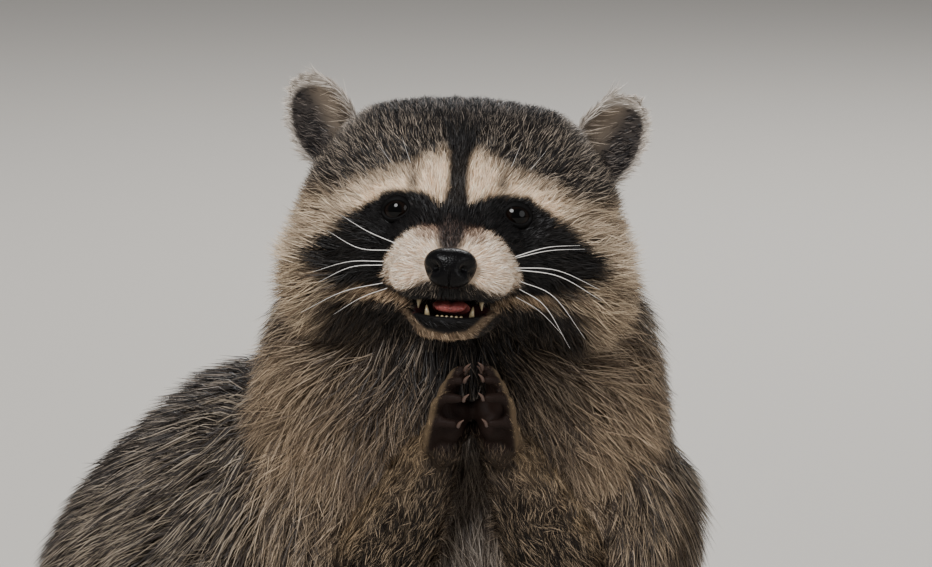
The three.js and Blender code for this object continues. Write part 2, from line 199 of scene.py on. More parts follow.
CHEST_COAT = [[16, 15, 17], [16, 15, 17], [13, 15, 17], [10, 15, 17], [10, 15, 17]]
BACK = [
    [-10, 80, 280, 58, 44, 54], [-22, 94, 226, 88, 73, 76], [-38, 108, 190, 102, 92, 92],
    [-60, 126, 166, 112, 95, 116], [-87, 152, 136, 110, 98, 138], [-108, 184, 102, 100, 92, 140],
    [-131, 212, 71, 86, 76, 98], [-149, 234, 54, 58, 54, 64],
]
THIGH = [[62, 56, 72, 54, 58, 60], [80, 2, 72, 58, 62, 66], [90, -54, 58, 42, 44, 50]]
SHANK = [[90, -72, 40, 27], [89, -46, 29, 27], [84, -18, 20, 18]]
HIND_FOOT = [[82, -24, 15, 14, 13, 17], [82, -66, 12, 15, 11, 14], [84, -106, 9.5, 18, 9, 11.5]]
UPPER_ARM = [[56, 58, 244, 34], [62, 38, 200, 35], [50, 16, 160, 27]]
FOREARM = [[48, 14, 160, 27], [36, 4, 190, 24], [22, -6, 222, 15.5], [13.9, -12, 243, 10.5]]
TAIL = [
    [-140, 232, 52, 26], [-172, 262, 37, 32], [-214, 274, 35, 36], [-252, 260, 35, 36],
    [-278, 228, 34.5, 35.5], [-290, 190, 33, 34], [-290, 152, 30, 31], [-282, 122, 26, 26],
]

forms = []  # the middle lines, directions and sizes that the coat is laid by
shells = []  # the surfaces that the skin is joined from


def to_side(stations, s):
    """A left limb's stations, or its mirror image's for the right side."""
    return [[s * station[0], *station[1:]] for station in stations]


def add_form(part, stations, where=STANDING, coat=(0, 0, 0), across=(1, 0, 0), square=2.0,
             fineness=(48, 48)):
    """Sweeps a form and carries it into the whole animal's frame."""
    form = swept(stations, fineness[0], coat, across)
    place, rotation = where
    form["centre"] = form["centre"] @ rotation.T + place
    for direction in ("along", "sideways", "backwards"):
        form[direction] = form[direction] @ rotation.T
    form["ends"] = form["sizes"][:, 1]
    form["part"] = part
    forms.append(form)
    shells.append(sections(form, fineness[1], square))


def add_centre(part, centre, rotation, radii):
    """Keeps a rounded form's middle, directions and radii as a form of one section."""
    forms.append({
        "part": part,
        "centre": centre[None],
        "sideways": rotation[:, 0][None],
        "backwards": rotation[:, 1][None],
        "along": rotation[:, 2][None],
        "sizes": radii[[0, 1, 1]][None],
        "ends": radii[2:],
        "share": np.array([0.5]),
    })


def add_ball(part, place, radii, where=STANDING):
    """Adds an ellipsoid: directions on a sphere times its radii, in the given frame."""
    origin, rotation = where
    place = np.array(place, float)
    radii = np.array(radii, float)
    add_centre(part, rotation @ place + origin, rotation, radii)
    shells.append((sphere(33, 48) * radii + place) @ rotation.T + origin)


add_form("skull", SKULL, IN_HEAD, SKULL_COAT, square=2.6, fineness=(64, 72))
add_form("jaw", JAW, IN_HEAD, (1.6, 0.6, 1.5), square=2.2)
add_form("lip", LIP, IN_HEAD, across=(0, 0, 1), fineness=(64, 20))
for s in SIDES:
    x, y, z = CHEEK["place"]
    add_ball("skull", [s * x, y, z], np.array(CHEEK["radii"]) - CHEEK["coat"], IN_HEAD)
    x, y, z = WHISKER_PAD["place"]
    add_ball("skull", [s * x, y, z], WHISKER_PAD["radii"], IN_HEAD)
add_form("neck", NECK, coat=NECK_COAT, square=2.1)
add_form("chest", CHEST, coat=CHEST_COAT, square=2.15)
add_form("back", BACK, coat=(19, 19, 21), across=HIND_ACROSS, square=2.15)
add_form("tail", TAIL, coat=(15, 15, 15), across=(0, 0, 1), fineness=(64, 32))
for s in SIDES:
    add_form("thigh", to_side(THIGH, s), IN_HIND, (14, 14, 14))
    add_form("shank", to_side(SHANK, s), IN_HIND, [[8] * 3, [7] * 3, [4] * 3])
    add_form("foot", to_side(HIND_FOOT, s), IN_HIND, (2.2, 2.2, 0.4), square=2.4)
    add_form("upper_arm", to_side(UPPER_ARM, s), coat=[[19] * 3, [16] * 3, [8] * 3])
    add_form("forearm", to_side(FOREARM, s), coat=[[8] * 3, [6] * 3, [3] * 3, [1.4] * 3])


# ---- Forepaws and hind toes ----
# Bare-palmed hands with five long fingers, steepled palm to palm, and flat hind feet with five
# toes. They are flesh, so their forms join the skin; the claws' places are kept for later.

WRIST = [13.4, -12, 241]
PAW_ALONG = [-0.12, -0.52, 0.85]
PAW_LEAN = [0.03, 0, 0]
PALM_FACES = [-0.85, -0.5, 0.1]
PALM = {"along": 13, "radii": [11, 5.6, 14.6]}
WRIST_RADIUS = 8.6
FINGERS = [  # across the palm, start along it, length and how far the tip curls to the other paw
    (-9, 20, 17, 9.6), (-3.1, 22, 19.5, 6.6), (3.1, 22, 20, 4), (9, 18, 17, 2.6), (-10.5, 10, 14, 10),
]
FINGER_RADII = [2.4, 2.0]
FINGER_GATHER = 0.95
FINGER_BEND = [0.8, 0.18]  # the last joint's share of the length, and of the curl
KNUCKLE_ARCH = -1.2
KNUCKLE = 1.1
PALM_PADS = [  # across the palm, out of it, along it, and radius
    (-5, 5.4, 3, 7.5), (5, 5, 6, 7), (-3, 5.4, 15, 6.5), (4, 5, 17, 6.5),
]
PAD_FLATNESS = 0.75
CLAW_ROOT = 1.5  # mm of a claw that lie inside the finger or toe
FORE_CLAW = {"length": 3.8, "radius": 0.85, "hook": 1.8, "bend": 0.5}
HIND_TOES = {"length": 30, "radii": [4.7, 3.9], "inset": 10, "spread": 7, "fan": 6, "arch": 1.6,
             "height": 4.2, "end": 4.2}
HIND_CLAW = {"length": 8, "radius": 1.6, "tip": 1.8, "bend": 1}

claws = []  # root, tip, bend and radius of each
paw_axes = []  # wrist, direction to the fingertips and direction the palm faces

for s in SIDES:
    mirror = np.array([s, 1, 1])
    along = unit(np.array(PAW_ALONG) * mirror + PAW_LEAN)
    palm_faces = np.array(PALM_FACES) * mirror
    palm_faces = unit(palm_faces - along * (palm_faces @ along))
    outwards = np.cross(palm_faces, along) * s
    wrist = np.array(WRIST) * mirror
    paw_frame = (wrist, np.stack([outwards, palm_faces, along], 1))
    paw_axes.append((wrist, along, palm_faces))
    add_ball("palm", [0, 0, PALM["along"]], PALM["radii"], paw_frame)
    add_ball("palm", [0, 0, 0], [WRIST_RADIUS] * 3, paw_frame)
    for across, out, forth, radius in PALM_PADS:
        add_ball("palm", [across, out, forth], [radius, radius * PAD_FLATNESS, radius], paw_frame)
    for across, begin, length, curl in FINGERS:
        end = np.array([across * FINGER_GATHER, curl, begin + length])
        stations = [
            [across, 0, begin - 8, FINGER_RADII[0]],
            [across, KNUCKLE_ARCH, begin + length * 0.4, FINGER_RADII[0] * KNUCKLE],
            [across, curl * FINGER_BEND[1], begin + length * FINGER_BEND[0], FINGER_RADII[0]],
            [*end, FINGER_RADII[1]],
        ]
        add_form("finger", stations, paw_frame, fineness=(20, 20))
        root = wrist + paw_frame[1] @ (end - [0, 0, CLAW_ROOT])
        tip = root + along * (FORE_CLAW["length"] + CLAW_ROOT) + palm_faces * FORE_CLAW["hook"]
        claws.append((root, tip, -palm_faces * FORE_CLAW["bend"], FORE_CLAW["radius"]))
    foot_x, foot_y = HIND_FOOT[-1][:2]
    for out in range(-2, 3):
        heading = turn(2, out * HIND_TOES["fan"]) @ np.array([0, -1, 0])
        set_back = HIND_TOES["inset"] + HIND_TOES["arch"] * out**2
        start = np.array([s * foot_x + out * HIND_TOES["spread"], foot_y + set_back,
                          HIND_TOES["height"]])
        end = start + heading * HIND_TOES["length"]
        end[2] = HIND_TOES["end"]
        middle = (start + end) / 2 + [0, 0, 1]
        stations = [[*start, HIND_TOES["radii"][0]], [*middle, HIND_TOES["radii"][0]],
                    [*end, HIND_TOES["radii"][1]]]
        add_form("toe", stations, IN_HIND, fineness=(20, 20))
        root = end - heading * CLAW_ROOT
        tip = end + heading * HIND_CLAW["length"]
        tip[2] = HIND_CLAW["tip"]
        claws.append((HIND_TURN @ root + HIND_PLACE, HIND_TURN @ tip + HIND_PLACE,
                      np.array([0, 0, HIND_CLAW["bend"]]), HIND_CLAW["radius"]))


# ---- Ears ----
# Short rounded shells of gristle, open ahead and a little out. Front and back walls meet in a
# rim 2.6 mm thick; they are flesh, so they join the skin too.

EAR = {"base": [52, 46, 18], "tip": [68, 53, 48], "radii": [14.4, 8.5, 21.6], "wall": 2.6,
       "turn": 16, "raise": {-1: 2.4, 1: 0}}

ear_frames = []
for s in SIDES:
    base = np.array(EAR["base"]) * [s, 1, 1]
    tip = np.array(EAR["tip"]) * [s, 1, 1]
    lean = np.degrees(np.arctan2(tip[0] - base[0], tip[2] - base[2]))
    rotation = HEAD_TURN @ turn(2, s * EAR["turn"]) @ turn(1, lean)
    origin = HEAD_TURN @ ((base + tip) / 2 + [0, 0, EAR["raise"][s]]) + HEAD_PLACE
    a, b, c = EAR["radii"]
    v = np.linspace(0, 1, 41)[:, None]
    angle = np.linspace(0, 2 * np.pi, 56, endpoint=False)[None]
    # From the middle of the hollow out to the rim and back to the middle of the back wall.
    out = np.sin(np.pi * v) ** 0.8
    bowl = b * np.sqrt(np.clip(1 - out**2, 0, 1))
    behind = np.where(v > 0.5, bowl, bowl - EAR["wall"] * np.clip((1 - out) * 6 + 0.6, 0, 1))
    points = np.stack([a * out * np.cos(angle), behind + 0 * angle, c * out * np.sin(angle)], -1)
    shells.append(points @ rotation.T + origin)
    add_centre("ear", origin, rotation, np.array(EAR["radii"]))
    ear_frames.append((origin, rotation))


# ---- Skin ----
# One closed hide over all the flesh. The forms are fused into one surface, the creases between
# them are eased as flesh eases them, the eye sockets are pressed in, and the soles are flat.

FUSING_SIZE = 1.15  # mm, the fineness at which the forms are fused
FINAL_SHARE = 0.25  # of the fused faces, kept where the surface is plain
FLOOR_CLEARANCE = 0.15
FACE_MIDDLE = np.array([0, -18, -22.0])  # in the head's frame
FACE_RADII = np.array([40, 34, 32.0])
PAW_MIDDLE = 18  # mm from the wrist
PAW_REACH = 34  # fine shapes are kept within these reaches of paws and ears, and this near the floor
EAR_REACH = 27
LOW_REACH = 22
SUNK_DEPTH = 12.0


def surface(name, points, faces):
    """A piece whose corners are given in millimetres in the forms' frame, and whose faces all
    have the same number of corners."""
    mesh = bpy.data.meshes.new(name)
    points = (points.reshape(-1, 3) + ORIGIN) / 1000
    mesh.vertices.add(len(points))
    mesh.vertices.foreach_set("co", points.astype(np.float32).ravel())
    mesh.loops.add(faces.size)
    mesh.loops.foreach_set("vertex_index", faces.astype(np.int32).ravel())
    mesh.polygons.add(len(faces))
    starts = np.arange(0, faces.size, faces.shape[1], dtype=np.int32)
    mesh.polygons.foreach_set("loop_start", starts)
    mesh.polygons.foreach_set("use_smooth", np.ones(len(faces), bool))
    mesh.update(calc_edges=True)
    piece = bpy.data.objects.new(name, mesh)
    bpy.context.scene.collection.objects.link(piece)
    return piece


def joined(grids):
    """Many closed-row grids as one list of points and one of quads."""
    faces = []
    first = 0
    for grid in grids:
        faces.append(grid_faces(*grid.shape[:2]) + first)
        first += grid.shape[0] * grid.shape[1]
    return np.concatenate([grid.reshape(-1, 3) for grid in grids]), np.concatenate(faces)


def read(mesh):
    """A mesh's corners in millimetres in the forms' frame, and its normals."""
    points = np.empty(len(mesh.vertices) * 3, np.float32)
    mesh.vertices.foreach_get("co", points)
    normals = np.empty(len(mesh.vertices) * 3, np.float32)
    mesh.vertex_normals.foreach_get("vector", normals)
    return points.reshape(-1, 3).astype(float) * 1000 - ORIGIN, normals.reshape(-1, 3).astype(float)


def finished(piece):
    """The piece with its modifiers made part of its mesh."""
    evaluated = piece.evaluated_get(bpy.context.evaluated_depsgraph_get())
    mesh = bpy.data.meshes.new_from_object(evaluated)
    old = piece.data
    piece.modifiers.clear()
    piece.data = mesh
    bpy.data.meshes.remove(old)


def levels(piece, name, weight):
    """A vertex group holding the weights, rounded to tenths."""
    group = piece.vertex_groups.new(name=name)
    tenths = np.rint(weight * 10).astype(int)
    for level in range(1, 11):
        group.add(np.flatnonzero(tenths == level).tolist(), level / 10, "REPLACE")


def soften(piece, times, group):
    """Each time, every corner moves half of its weight towards the mean of its neighbours."""
    smooth = piece.modifiers.new("soften", "SMOOTH")
    smooth.factor = 0.5
    smooth.iterations = times
    smooth.vertex_group = group


def off_line(points, names):
    """How far points are from the middle lines of the named forms, nearest taken."""
    nearest = np.full(len(points), 1e9)
    for form in forms:
        if form["part"] in names:
            centre = form["centre"][::3]
            apart = (points**2).sum(1)[:, None] - 2 * points @ centre.T + (centre**2).sum(1)
            nearest = np.minimum(nearest, apart.min(1))
    return np.sqrt(np.maximum(nearest, 0))


def smoothstep(low, high, value):
    """0 below low, 1 above high, and between them the cubic that leaves and arrives level."""
    t = np.clip((value - low) / (high - low), 0, 1)
    return t * t * (3 - 2 * t)


def in_head(points):
    """Places in the head's own frame: x to its left, y from the nose back, z up."""
    return (points - HEAD_PLACE) @ HEAD_TURN


def from_head(points):
    """The opposite: places given in the head's own frame, in the whole animal's."""
    return points @ HEAD_TURN.T + HEAD_PLACE


skin = surface("skin", *joined(shells))
fuse = skin.modifiers.new("fuse", "REMESH")
fuse.mode = "VOXEL"
fuse.voxel_size = FUSING_SIZE / 1000
finished(skin)

points, _ = read(skin.data)
head = in_head(points)
in_paw = np.min([np.linalg.norm(points - wrist - along * PAW_MIDDLE, axis=1)
                 for wrist, along, _ in paw_axes], axis=0)
in_ear = np.min([np.linalg.norm(points - origin, axis=1) for origin, _ in ear_frames], axis=0)
face = np.linalg.norm((head - FACE_MIDDLE) / FACE_RADII, axis=1)
detail = (face < 1) | (in_paw < PAW_REACH) | (in_ear < EAR_REACH) | (points[:, 2] < LOW_REACH)
limb = off_line(points, ("forearm", "shank", "foot"))
tail = off_line(points, ("tail",))
loose = smoothstep(0.95, 1.5, face) * smoothstep(30, 42, in_paw) * smoothstep(24, 36, in_ear)
loose *= smoothstep(18, 34, limb) * smoothstep(22, 40, tail)
levels(skin, "loose", loose)
levels(skin, "plain", np.where(detail, 0.1, 1.0))
levels(skin, "even", np.where(in_paw < PAW_REACH, 0.4, 1.0))
soften(skin, 5, "even")
soften(skin, 50, "plain")
soften(skin, 500, "loose")
finished(skin)

# Where rump and tail rest, their coat is pressed thin, so the hide comes down close to the floor.
points, _ = read(skin.data)
sunk = SUNK_DEPTH * smoothstep(SUNK_DEPTH + 22, SUNK_DEPTH, points[:, 2])
points[:, 2] -= sunk * smoothstep(16, 30, limb)

# The eye sockets: in front of each eye the skin lies just under the lids.
EYE = {"place": [23.4, -2.5, 0], "radius": 8}
SOCKET_ANGLES = np.radians([50, 78])
SOCKET_REACH = [9.5, 15]  # mm from the line of sight, where the socket's floor gives way to the face
SEAT_ANGLES = np.radians([34, 50])  # the hide is behind the eyeball's front within the first
SEAT_RADII = [5.2, 8.7]
eye_places = [HEAD_TURN @ (np.array(EYE["place"]) * [s, 1, 1]) + HEAD_PLACE for s in SIDES]
eye_looks = [HEAD_TURN @ unit(np.array([s * 0.25, -1, 0.0])) for s in SIDES]
for place, looks in zip(eye_places, eye_looks):
    offset = points - place
    far = np.linalg.norm(offset, axis=1)
    angle = np.arccos(np.clip(offset @ looks / np.maximum(far, 1e-6), -1, 1))
    held = 1 - smoothstep(*SOCKET_ANGLES, angle)
    held *= 1 - smoothstep(*SOCKET_REACH, far * np.sin(angle))
    seat = np.interp(angle, SEAT_ANGLES, SEAT_RADII)
    near = (far < 30) & (far > seat)
    wanted = far + (seat - far) * held * near
    points = place + offset * (wanted / np.maximum(far, 1e-6))[:, None]
points[:, 2] = np.maximum(points[:, 2], FLOOR_CLEARANCE)
skin.data.vertices.foreach_set("co", ((points + ORIGIN) / 1000).astype(np.float32).ravel())

thin = skin.modifiers.new("thin", "DECIMATE")
thin.ratio = FINAL_SHARE
thin.vertex_group = "plain"
finished(skin)

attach(skin, "root")
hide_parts(*[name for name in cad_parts
                    if "claw" not in name and "eye" not in name and name not in ("nose", "tongue")])


# ---- Where each part of the hide is ----
# For every corner of the skin: which form it belongs to, how far round and along that form it
# lies, and how near it is to the other forms, so that the coat's lie and length can pass smoothly
# from one form to the next.

hide, hide_normals = read(skin.data)


def beside(form, points):
    """Distance from the form's surface, the angle round it and the share along it. The nearest
    section is taken; a point's place in it, over the section's sizes, is 1 at the surface."""
    centre = form["centre"]
    apart = (points**2).sum(1)[:, None] - 2 * points @ centre.T + (centre**2).sum(1)
    nearest = apart.argmin(1)
    offset = points - centre[nearest]
    x, y, z = ((offset * form[way][nearest]).sum(1) for way in ("sideways", "backwards", "along"))
    sizes = form["sizes"][nearest]
    depth = np.where(y > 0, sizes[:, 1], sizes[:, 2])
    ends = form["ends"][nearest]
    share = np.sqrt((x / sizes[:, 0]) ** 2 + (y / depth) ** 2 + (z / ends) ** 2)
    far = np.linalg.norm(offset, axis=1)
    distance = far * (1 - 1 / np.maximum(share, 0.05))
    round_it = np.arctan2(y / depth, x / sizes[:, 0]) / (2 * np.pi) + 0.5
    along_it = form["share"][nearest] + 0.45 * z / ends * (len(centre) == 1)
    return distance, round_it, along_it, y / depth, form["along"][nearest]


BLEND_REACH = 7.0  # mm over which one form's coat passes into the next

found = [beside(form, hide) for form in forms]
distances, rounds, alongs, dorsals, headings = (np.array(values) for values in zip(*found))
owner = distances.argmin(0)
closeness = np.exp(-np.clip(distances - distances.min(0), 0, 60) / BLEND_REACH)
closeness /= closeness.sum(0)
parts = np.array([form["part"] for form in forms])


def share_of(*names):
    """How much of each skin corner belongs to the named parts, from 0 to 1."""
    return closeness[np.isin(parts, names)].sum(0)


# ---- Lie of the coat ----
# Hair runs from the nose back over the head, outwards and down from the throat over the chest,
# and from there along the body to the tail and down each limb to its foot.

NOSE_TIP = np.array([0, -56, -22.0])
THROAT = np.array([-5.0, -26.0, 292.0])
hide_edges = np.empty(len(skin.data.edges) * 2, np.int32)
skin.data.edges.foreach_get("vertices", hide_edges)
hide_edges = hide_edges.reshape(-1, 2)
neighbours = np.bincount(hide_edges.ravel(), minlength=len(hide))


def evened(values, times):
    """Each time, every corner's value moves halfway to the mean of its neighbours' values."""
    a, b = hide_edges.T
    columns = values.reshape(len(hide), -1).copy()
    for _ in range(times):
        for k in range(columns.shape[1]):
            column = columns[:, k]
            total = np.bincount(a, column[b], len(hide)) + np.bincount(b, column[a], len(hide))
            columns[:, k] = (column + total / neighbours) / 2
    return columns.reshape(values.shape)


def in_plane(directions):
    """Directions less their part along the hide's normals."""
    return directions - hide_normals * (directions * hide_normals).sum(1, keepdims=True)


head_points = in_head(hide)
from_nose = unit(head_points - NOSE_TIP) @ HEAD_TURN.T
from_throat = unit(unit(hide - THROAT) * [1.0, 0.6, 1.0] + [0, 0, -0.55])
down_back = unit(np.array([-0.1, 0.35, -1.0]))
down_nape = unit(np.array([0.0, 0.25, -1.0]))
nape = smoothstep(50, 78, head_points[:, 1])[:, None]
behind = smoothstep(40, 95, hide[:, 1])[:, None]
lie = np.zeros_like(hide)
for form, weight, heading in zip(forms, closeness, headings):
    part = form["part"]
    way = heading
    if part in ("skull", "jaw"):
        way = from_nose * (1 - nape) + down_nape * nape
    elif part == "neck":
        way = (from_throat + from_nose * 0.4) * (1 - behind) + down_back * behind
    elif part == "chest":
        way = (from_throat + heading * 0.8) * (1 - behind) + down_back * behind
    elif part == "back":
        way = heading + [0, 0, -0.35]
    elif part in ("thigh", "shank"):
        way = heading * 0.35 + [0, 0, -1.0]
    lie += weight[:, None] * in_plane(unit(way))
for _ in range(4):
    lie = in_plane(evened(lie, 12))


# ---- Coat's length, depth and thickness of hair ----
# Shortest on the hands, feet and muzzle, longest on the ruff, back and tail. Millimetres.

COATS = {  # part: how deep the coat is, hair length, hair width, hairs in a square centimetre
    "skull": (8, 14, 0.36, 170), "jaw": (1.4, 4.5, 0.28, 260), "lip": (0.7, 3, 0.24, 240),
    "neck": (20, 34, 0.42, 190), "chest": (22, 37, 0.46, 148), "back": (24, 38, 0.66, 58),
    "tail": (13, 29, 0.5, 110), "thigh": (12, 27, 0.52, 100), "shank": (5.5, 16, 0.44, 110),
    "foot": (1.6, 6, 0.36, 130), "upper_arm": (12, 26, 0.44, 150), "forearm": (4, 11, 0.34, 210),
    "palm": (0.8, 4.5, 0.28, 190), "finger": (0.5, 2.6, 0.22, 160), "toe": (0.8, 3.2, 0.3, 150),
    "ear": (1.2, 4.6, 0.29, 360),
}
depth, length, width, crowd = (sum(weight * COATS[form["part"]][k]
                                   for form, weight in zip(forms, closeness)) for k in range(4))

HEAD_REACHES = [0, 14, 24, 36, 50, 64, 84, 110, 150]  # from the nose's tip
HEAD_LENGTHS = [1.8, 3.2, 5.4, 6.2, 6.4, 7, 8.2, 11.5, 22]
HEAD_DEPTHS = [0.5, 1, 2.1, 2.3, 2.5, 3, 3.8, 5.6, 12]
LENGTH_ENDS = [2, 24]  # the head's hair lengths between which its width and crowding pass
WIDTH_ENDS = [0.22, 0.42]
CROWD_ENDS = [420, 160]
RUFF = {"length": 26, "depth": 12}
EAR_TUFT = {"length": 9, "depth": 1.6, "reach": 26}

hx, hy, hz = head_points.T
nose_reach = np.linalg.norm(head_points - NOSE_TIP, axis=1)
ruff = smoothstep(36, 50, np.abs(hx)) * smoothstep(18, 2, hz) * smoothstep(-4, 10, hy)
head_length = np.interp(nose_reach, HEAD_REACHES, HEAD_LENGTHS)
head_depth = np.interp(nose_reach, HEAD_REACHES, HEAD_DEPTHS)
head_length = head_length + ruff * (RUFF["length"] - head_length)
head_depth = head_depth + ruff * (RUFF["depth"] - head_depth)
eye_reach = np.min([np.linalg.norm(hide - place, axis=1) for place in eye_places], axis=0)
corner = np.exp(-(((np.abs(hx) - 38) / 12) ** 2) - ((hz - 38) / 14) ** 2)
head_depth = head_depth + 2.6 * corner
by_eye = smoothstep(20, 10, eye_reach)
head_length *= 1 - 0.55 * by_eye
head_depth *= 1 - 0.7 * by_eye
skull_share = share_of("skull")
length = length + skull_share * (head_length - COATS["skull"][1])
depth = depth + skull_share * (head_depth - COATS["skull"][0])
head_width = np.interp(head_length, LENGTH_ENDS, WIDTH_ENDS)
width = width + skull_share * (head_width - COATS["skull"][2])
head_crowd = np.interp(head_length, LENGTH_ENDS, CROWD_ENDS)
crowd = crowd + skull_share * (head_crowd - COATS["skull"][3])

# In the ear's mouth, long pale hairs sweep from its inner edge out and up across the hollow.
ear_front = np.zeros(len(hide))
for s, (origin, rotation) in zip(SIDES, ear_frames):
    ex, _, ez = ((hide - origin) @ rotation).T
    mouth = share_of("ear") * smoothstep(0.1, -0.3, hide_normals @ rotation[:, 1])
    mouth *= np.hypot(ex, ez) < EAR_TUFT["reach"]
    ear_front = np.maximum(ear_front, mouth)
    inner = mouth * smoothstep(3, -6, ex * s) * smoothstep(20, 10, ez)
    length += inner * EAR_TUFT["length"]
    depth += inner * EAR_TUFT["depth"]
    sweep = in_plane(np.tile(rotation @ np.array([s * 0.8, -0.1, 0.6]), (len(hide), 1)))
    lie += mouth[:, None] * (sweep - lie)
depth, length, width, crowd = (evened(values, 6) for values in (depth, length, width, crowd))


# ---- Markings ----
# A grizzled grey-brown coat of dark and pale hairs, a black mask across the eyes between white
# brows and a white muzzle, a tan chin, a dark throat deepened by painted shade under the jaw, a
# dark back, and a ringed tail. Painted shade also darkens the chest under the chin and between the
# forepaws and the crown's top, and grey chin hairs stand partly for a painted sheen. Each place has
# a deep hair colour, a bright hair colour and the share of its hairs that are bright.


def linear(colour):
    """An sRGB hex colour as linear light: the standard's straight toe and 2.4 power."""
    values = np.array([int(colour[k:k + 2], 16) for k in (1, 3, 5)]) / 255
    return np.where(values <= 0.04045, values / 12.92, ((values + 0.055) / 1.055) ** 2.4)


MIXTURES = {  # deep colour, bright colour and the share of hairs that are bright
    "grizzle": ("#3a332f", "#a0927f", 0.42), "spine": ("#1f1b1a", "#857a70", 0.28),
    "belly": ("#564a3f", "#ad9a85", 0.5), "breast": ("#4c4036", "#a8937c", 0.5),
    "shoulder": ("#6b5845", "#bda587", 0.55), "upper_arm": ("#2a231f", "#ab967c", 0.38),
    "forearm": ("#1a1512", "#a8937a", 0.25), "forearm_edge": ("#4f4133", "#b89f7e", 0.5),
    "hand": ("#1c1512", "#5d4d3d", 0.35), "knuckles": ("#574737", "#ab9270", 0.55),
    "palm": ("#140c0a", "#2b1e18", 0.3), "painted_shade_under_chin": ("#2b231e", "#8d7963", 0.4),
    "wedge": ("#4a413a", "#8f857a", 0.45), "shade_behind_hands": ("#0f0b0a", "#2b221d", 0.15),
    "thigh": ("#3b342f", "#a09280", 0.42), "shank": ("#362f29", "#8f7f6c", 0.4),
    "foot": ("#65584b", "#a69784", 0.5), "tail": ("#6a5b4a", "#b7a387", 0.5),
    "ring": ("#171313", "#37302c", 0.2), "throat": ("#120f0e", "#3a3029", 0.24),
    "crown": ("#1a1513", "#a99a89", 0.21), "crown_top_shade": ("#141110", "#7d726a", 0.2),
    "ruff": ("#6c5a48", "#c4af92", 0.55), "under_jaw_dark_and_shade": ("#151211", "#3d332c", 0.2),
    "brow_end": ("#a08c76", "#dbc6ab", 0.6), "brow": ("#e2c3a0", "#fbe4c8", 0.66),
    "brush": ("#2b2422", "#a4937f", 0.35), "stripe": ("#121010", "#332e2c", 0.14),
    "mask": ("#0b0909", "#242020", 0.12), "bridge": ("#0e0b0b", "#241f1d", 0.12),
    "lip_edge": ("#8a7159", "#ccb292", 0.55), "muzzle": ("#d6b89a", "#fff0dd", 0.62),
    "rust": ("#5b4034", "#cfae95", 0.5), "nose_bridge": ("#231c1a", "#6a5850", 0.28),
    "chin": ("#070606", "#2e2b2c", 0.25), "upper_lip": ("#0f0c0c", "#242020", 0.12),
    "lip": ("#0b0909", "#151212", 0.1), "ear": ("#1a1617", "#7c726b", 0.28),
    "ear_inside": ("#6f6052", "#c8b7a2", 0.66), "ear_rim": ("#b5a99c", "#e8dfd4", 0.65),
}


def lay(look, amount, name):
    """Lays a hair mixture over the looks so far, as far as its amount says."""
    deep, bright, bright_share = MIXTURES[name]
    wanted = np.concatenate([linear(deep), linear(bright), [bright_share]])
    look += np.clip(amount, 0, 1)[:, None] * (wanted - look)


def within(value, line, x, softness):
    """1 where the value is below a line drawn through points, softening across it."""
    return smoothstep(softness, -softness, value - np.interp(x, *line))


def oval(x, y, middle, radii, softness=0.16):
    """1 inside an ellipse and 0 outside it, softening across its edge."""
    reach = np.hypot((x - middle[0]) / radii[0], (y - middle[1]) / radii[1])
    return smoothstep(1 + softness, 1 - softness, reach)


fields = {name: share_of(*names) for name, names in {
    "head": ("skull", "jaw", "lip"), "lip": ("lip",), "ear": ("ear",), "neck": ("neck",),
    "chest": ("chest",), "upper_arm": ("upper_arm",), "forearm": ("forearm",),
    "hand": ("palm", "finger"), "thigh": ("thigh",), "shank": ("shank",),
    "foot": ("foot", "toe"), "tail": ("tail",),
}.items()}
fields["ear_front"] = ear_front
fields["tail_along"] = alongs[list(parts).index("tail")]
trunk_forms = np.isin(parts, ("neck", "chest", "back"))
trunk_closeness = closeness[trunk_forms] / np.maximum(closeness[trunk_forms].sum(0), 1e-6)
fields["dorsal"] = (trunk_closeness * dorsals[trunk_forms]).sum(0)
fields["upper_edge"] = smoothstep(0.45, 0.9, hide_normals @ np.array([0, 0, 0.75])
                                  + 0.66 * hide_normals[:, 0] * np.sign(hide[:, 0] + 2))
palm_side, knuckle_side = np.zeros((2, len(hide)))
for s, (wrist, along, palm_faces) in zip(SIDES, paw_axes):
    offset = hide - wrist
    forth = offset @ along
    mine = s * hide[:, 0] > 0
    inward = offset @ palm_faces
    palm_side += mine * smoothstep(-0.4, 1.2, inward) * smoothstep(4, 10, forth)
    knuckle_side += mine * smoothstep(0.4, -1.2, inward)
fields["palm_side"] = palm_side
fields["knuckle_side"] = knuckle_side
palmar = fields["hand"] * palm_side

# Lines on the face: how far out from its middle, and the height there.
BROW_LOW = [[0, 6.6, 13, 20, 29, 34, 43, 49, 60, 70],
            [2, 4.5, 7.4, 8.4, 7.8, 4.4, -1, -5.5, -15, -24]]
BROW_TOP = [[0, 6.6, 13, 20, 33, 42, 52, 62, 72], [22, 23.5, 21, 16.8, 12.8, 9.6, 5.5, -1, -10]]
SMILE = [[0, 8, 12.5, 16.5, 20, 25, 32, 42], [-51.8, -50.2, -46.2, -41.8, -38, -35.6, -34.8, -34.6]]
MUZZLE_TOP = [[4, 13, 17, 21, 25, 27.5, 30], [-8.5, -6.8, -8, -11.6, -16.5, -21, -28]]
MUZZLE_LOW = [[5, 9, 14, 18, 22, 26, 30], [-27.6, -28.4, -30.6, -32.4, -32, -30.4, -27]]
STRIPE = [[-6, 4, 11, 24, 34, 48], [5, 5.5, 3.9, 4.4, 7.6, 14]]  # height, and half its width there
RINGS = [0.2, 0.36, 0.52, 0.67, 0.81]
RING_WIDTH = 0.036
MUZZLE_MIDDLE = -1.0  # the muzzle's own middle, left of the head's


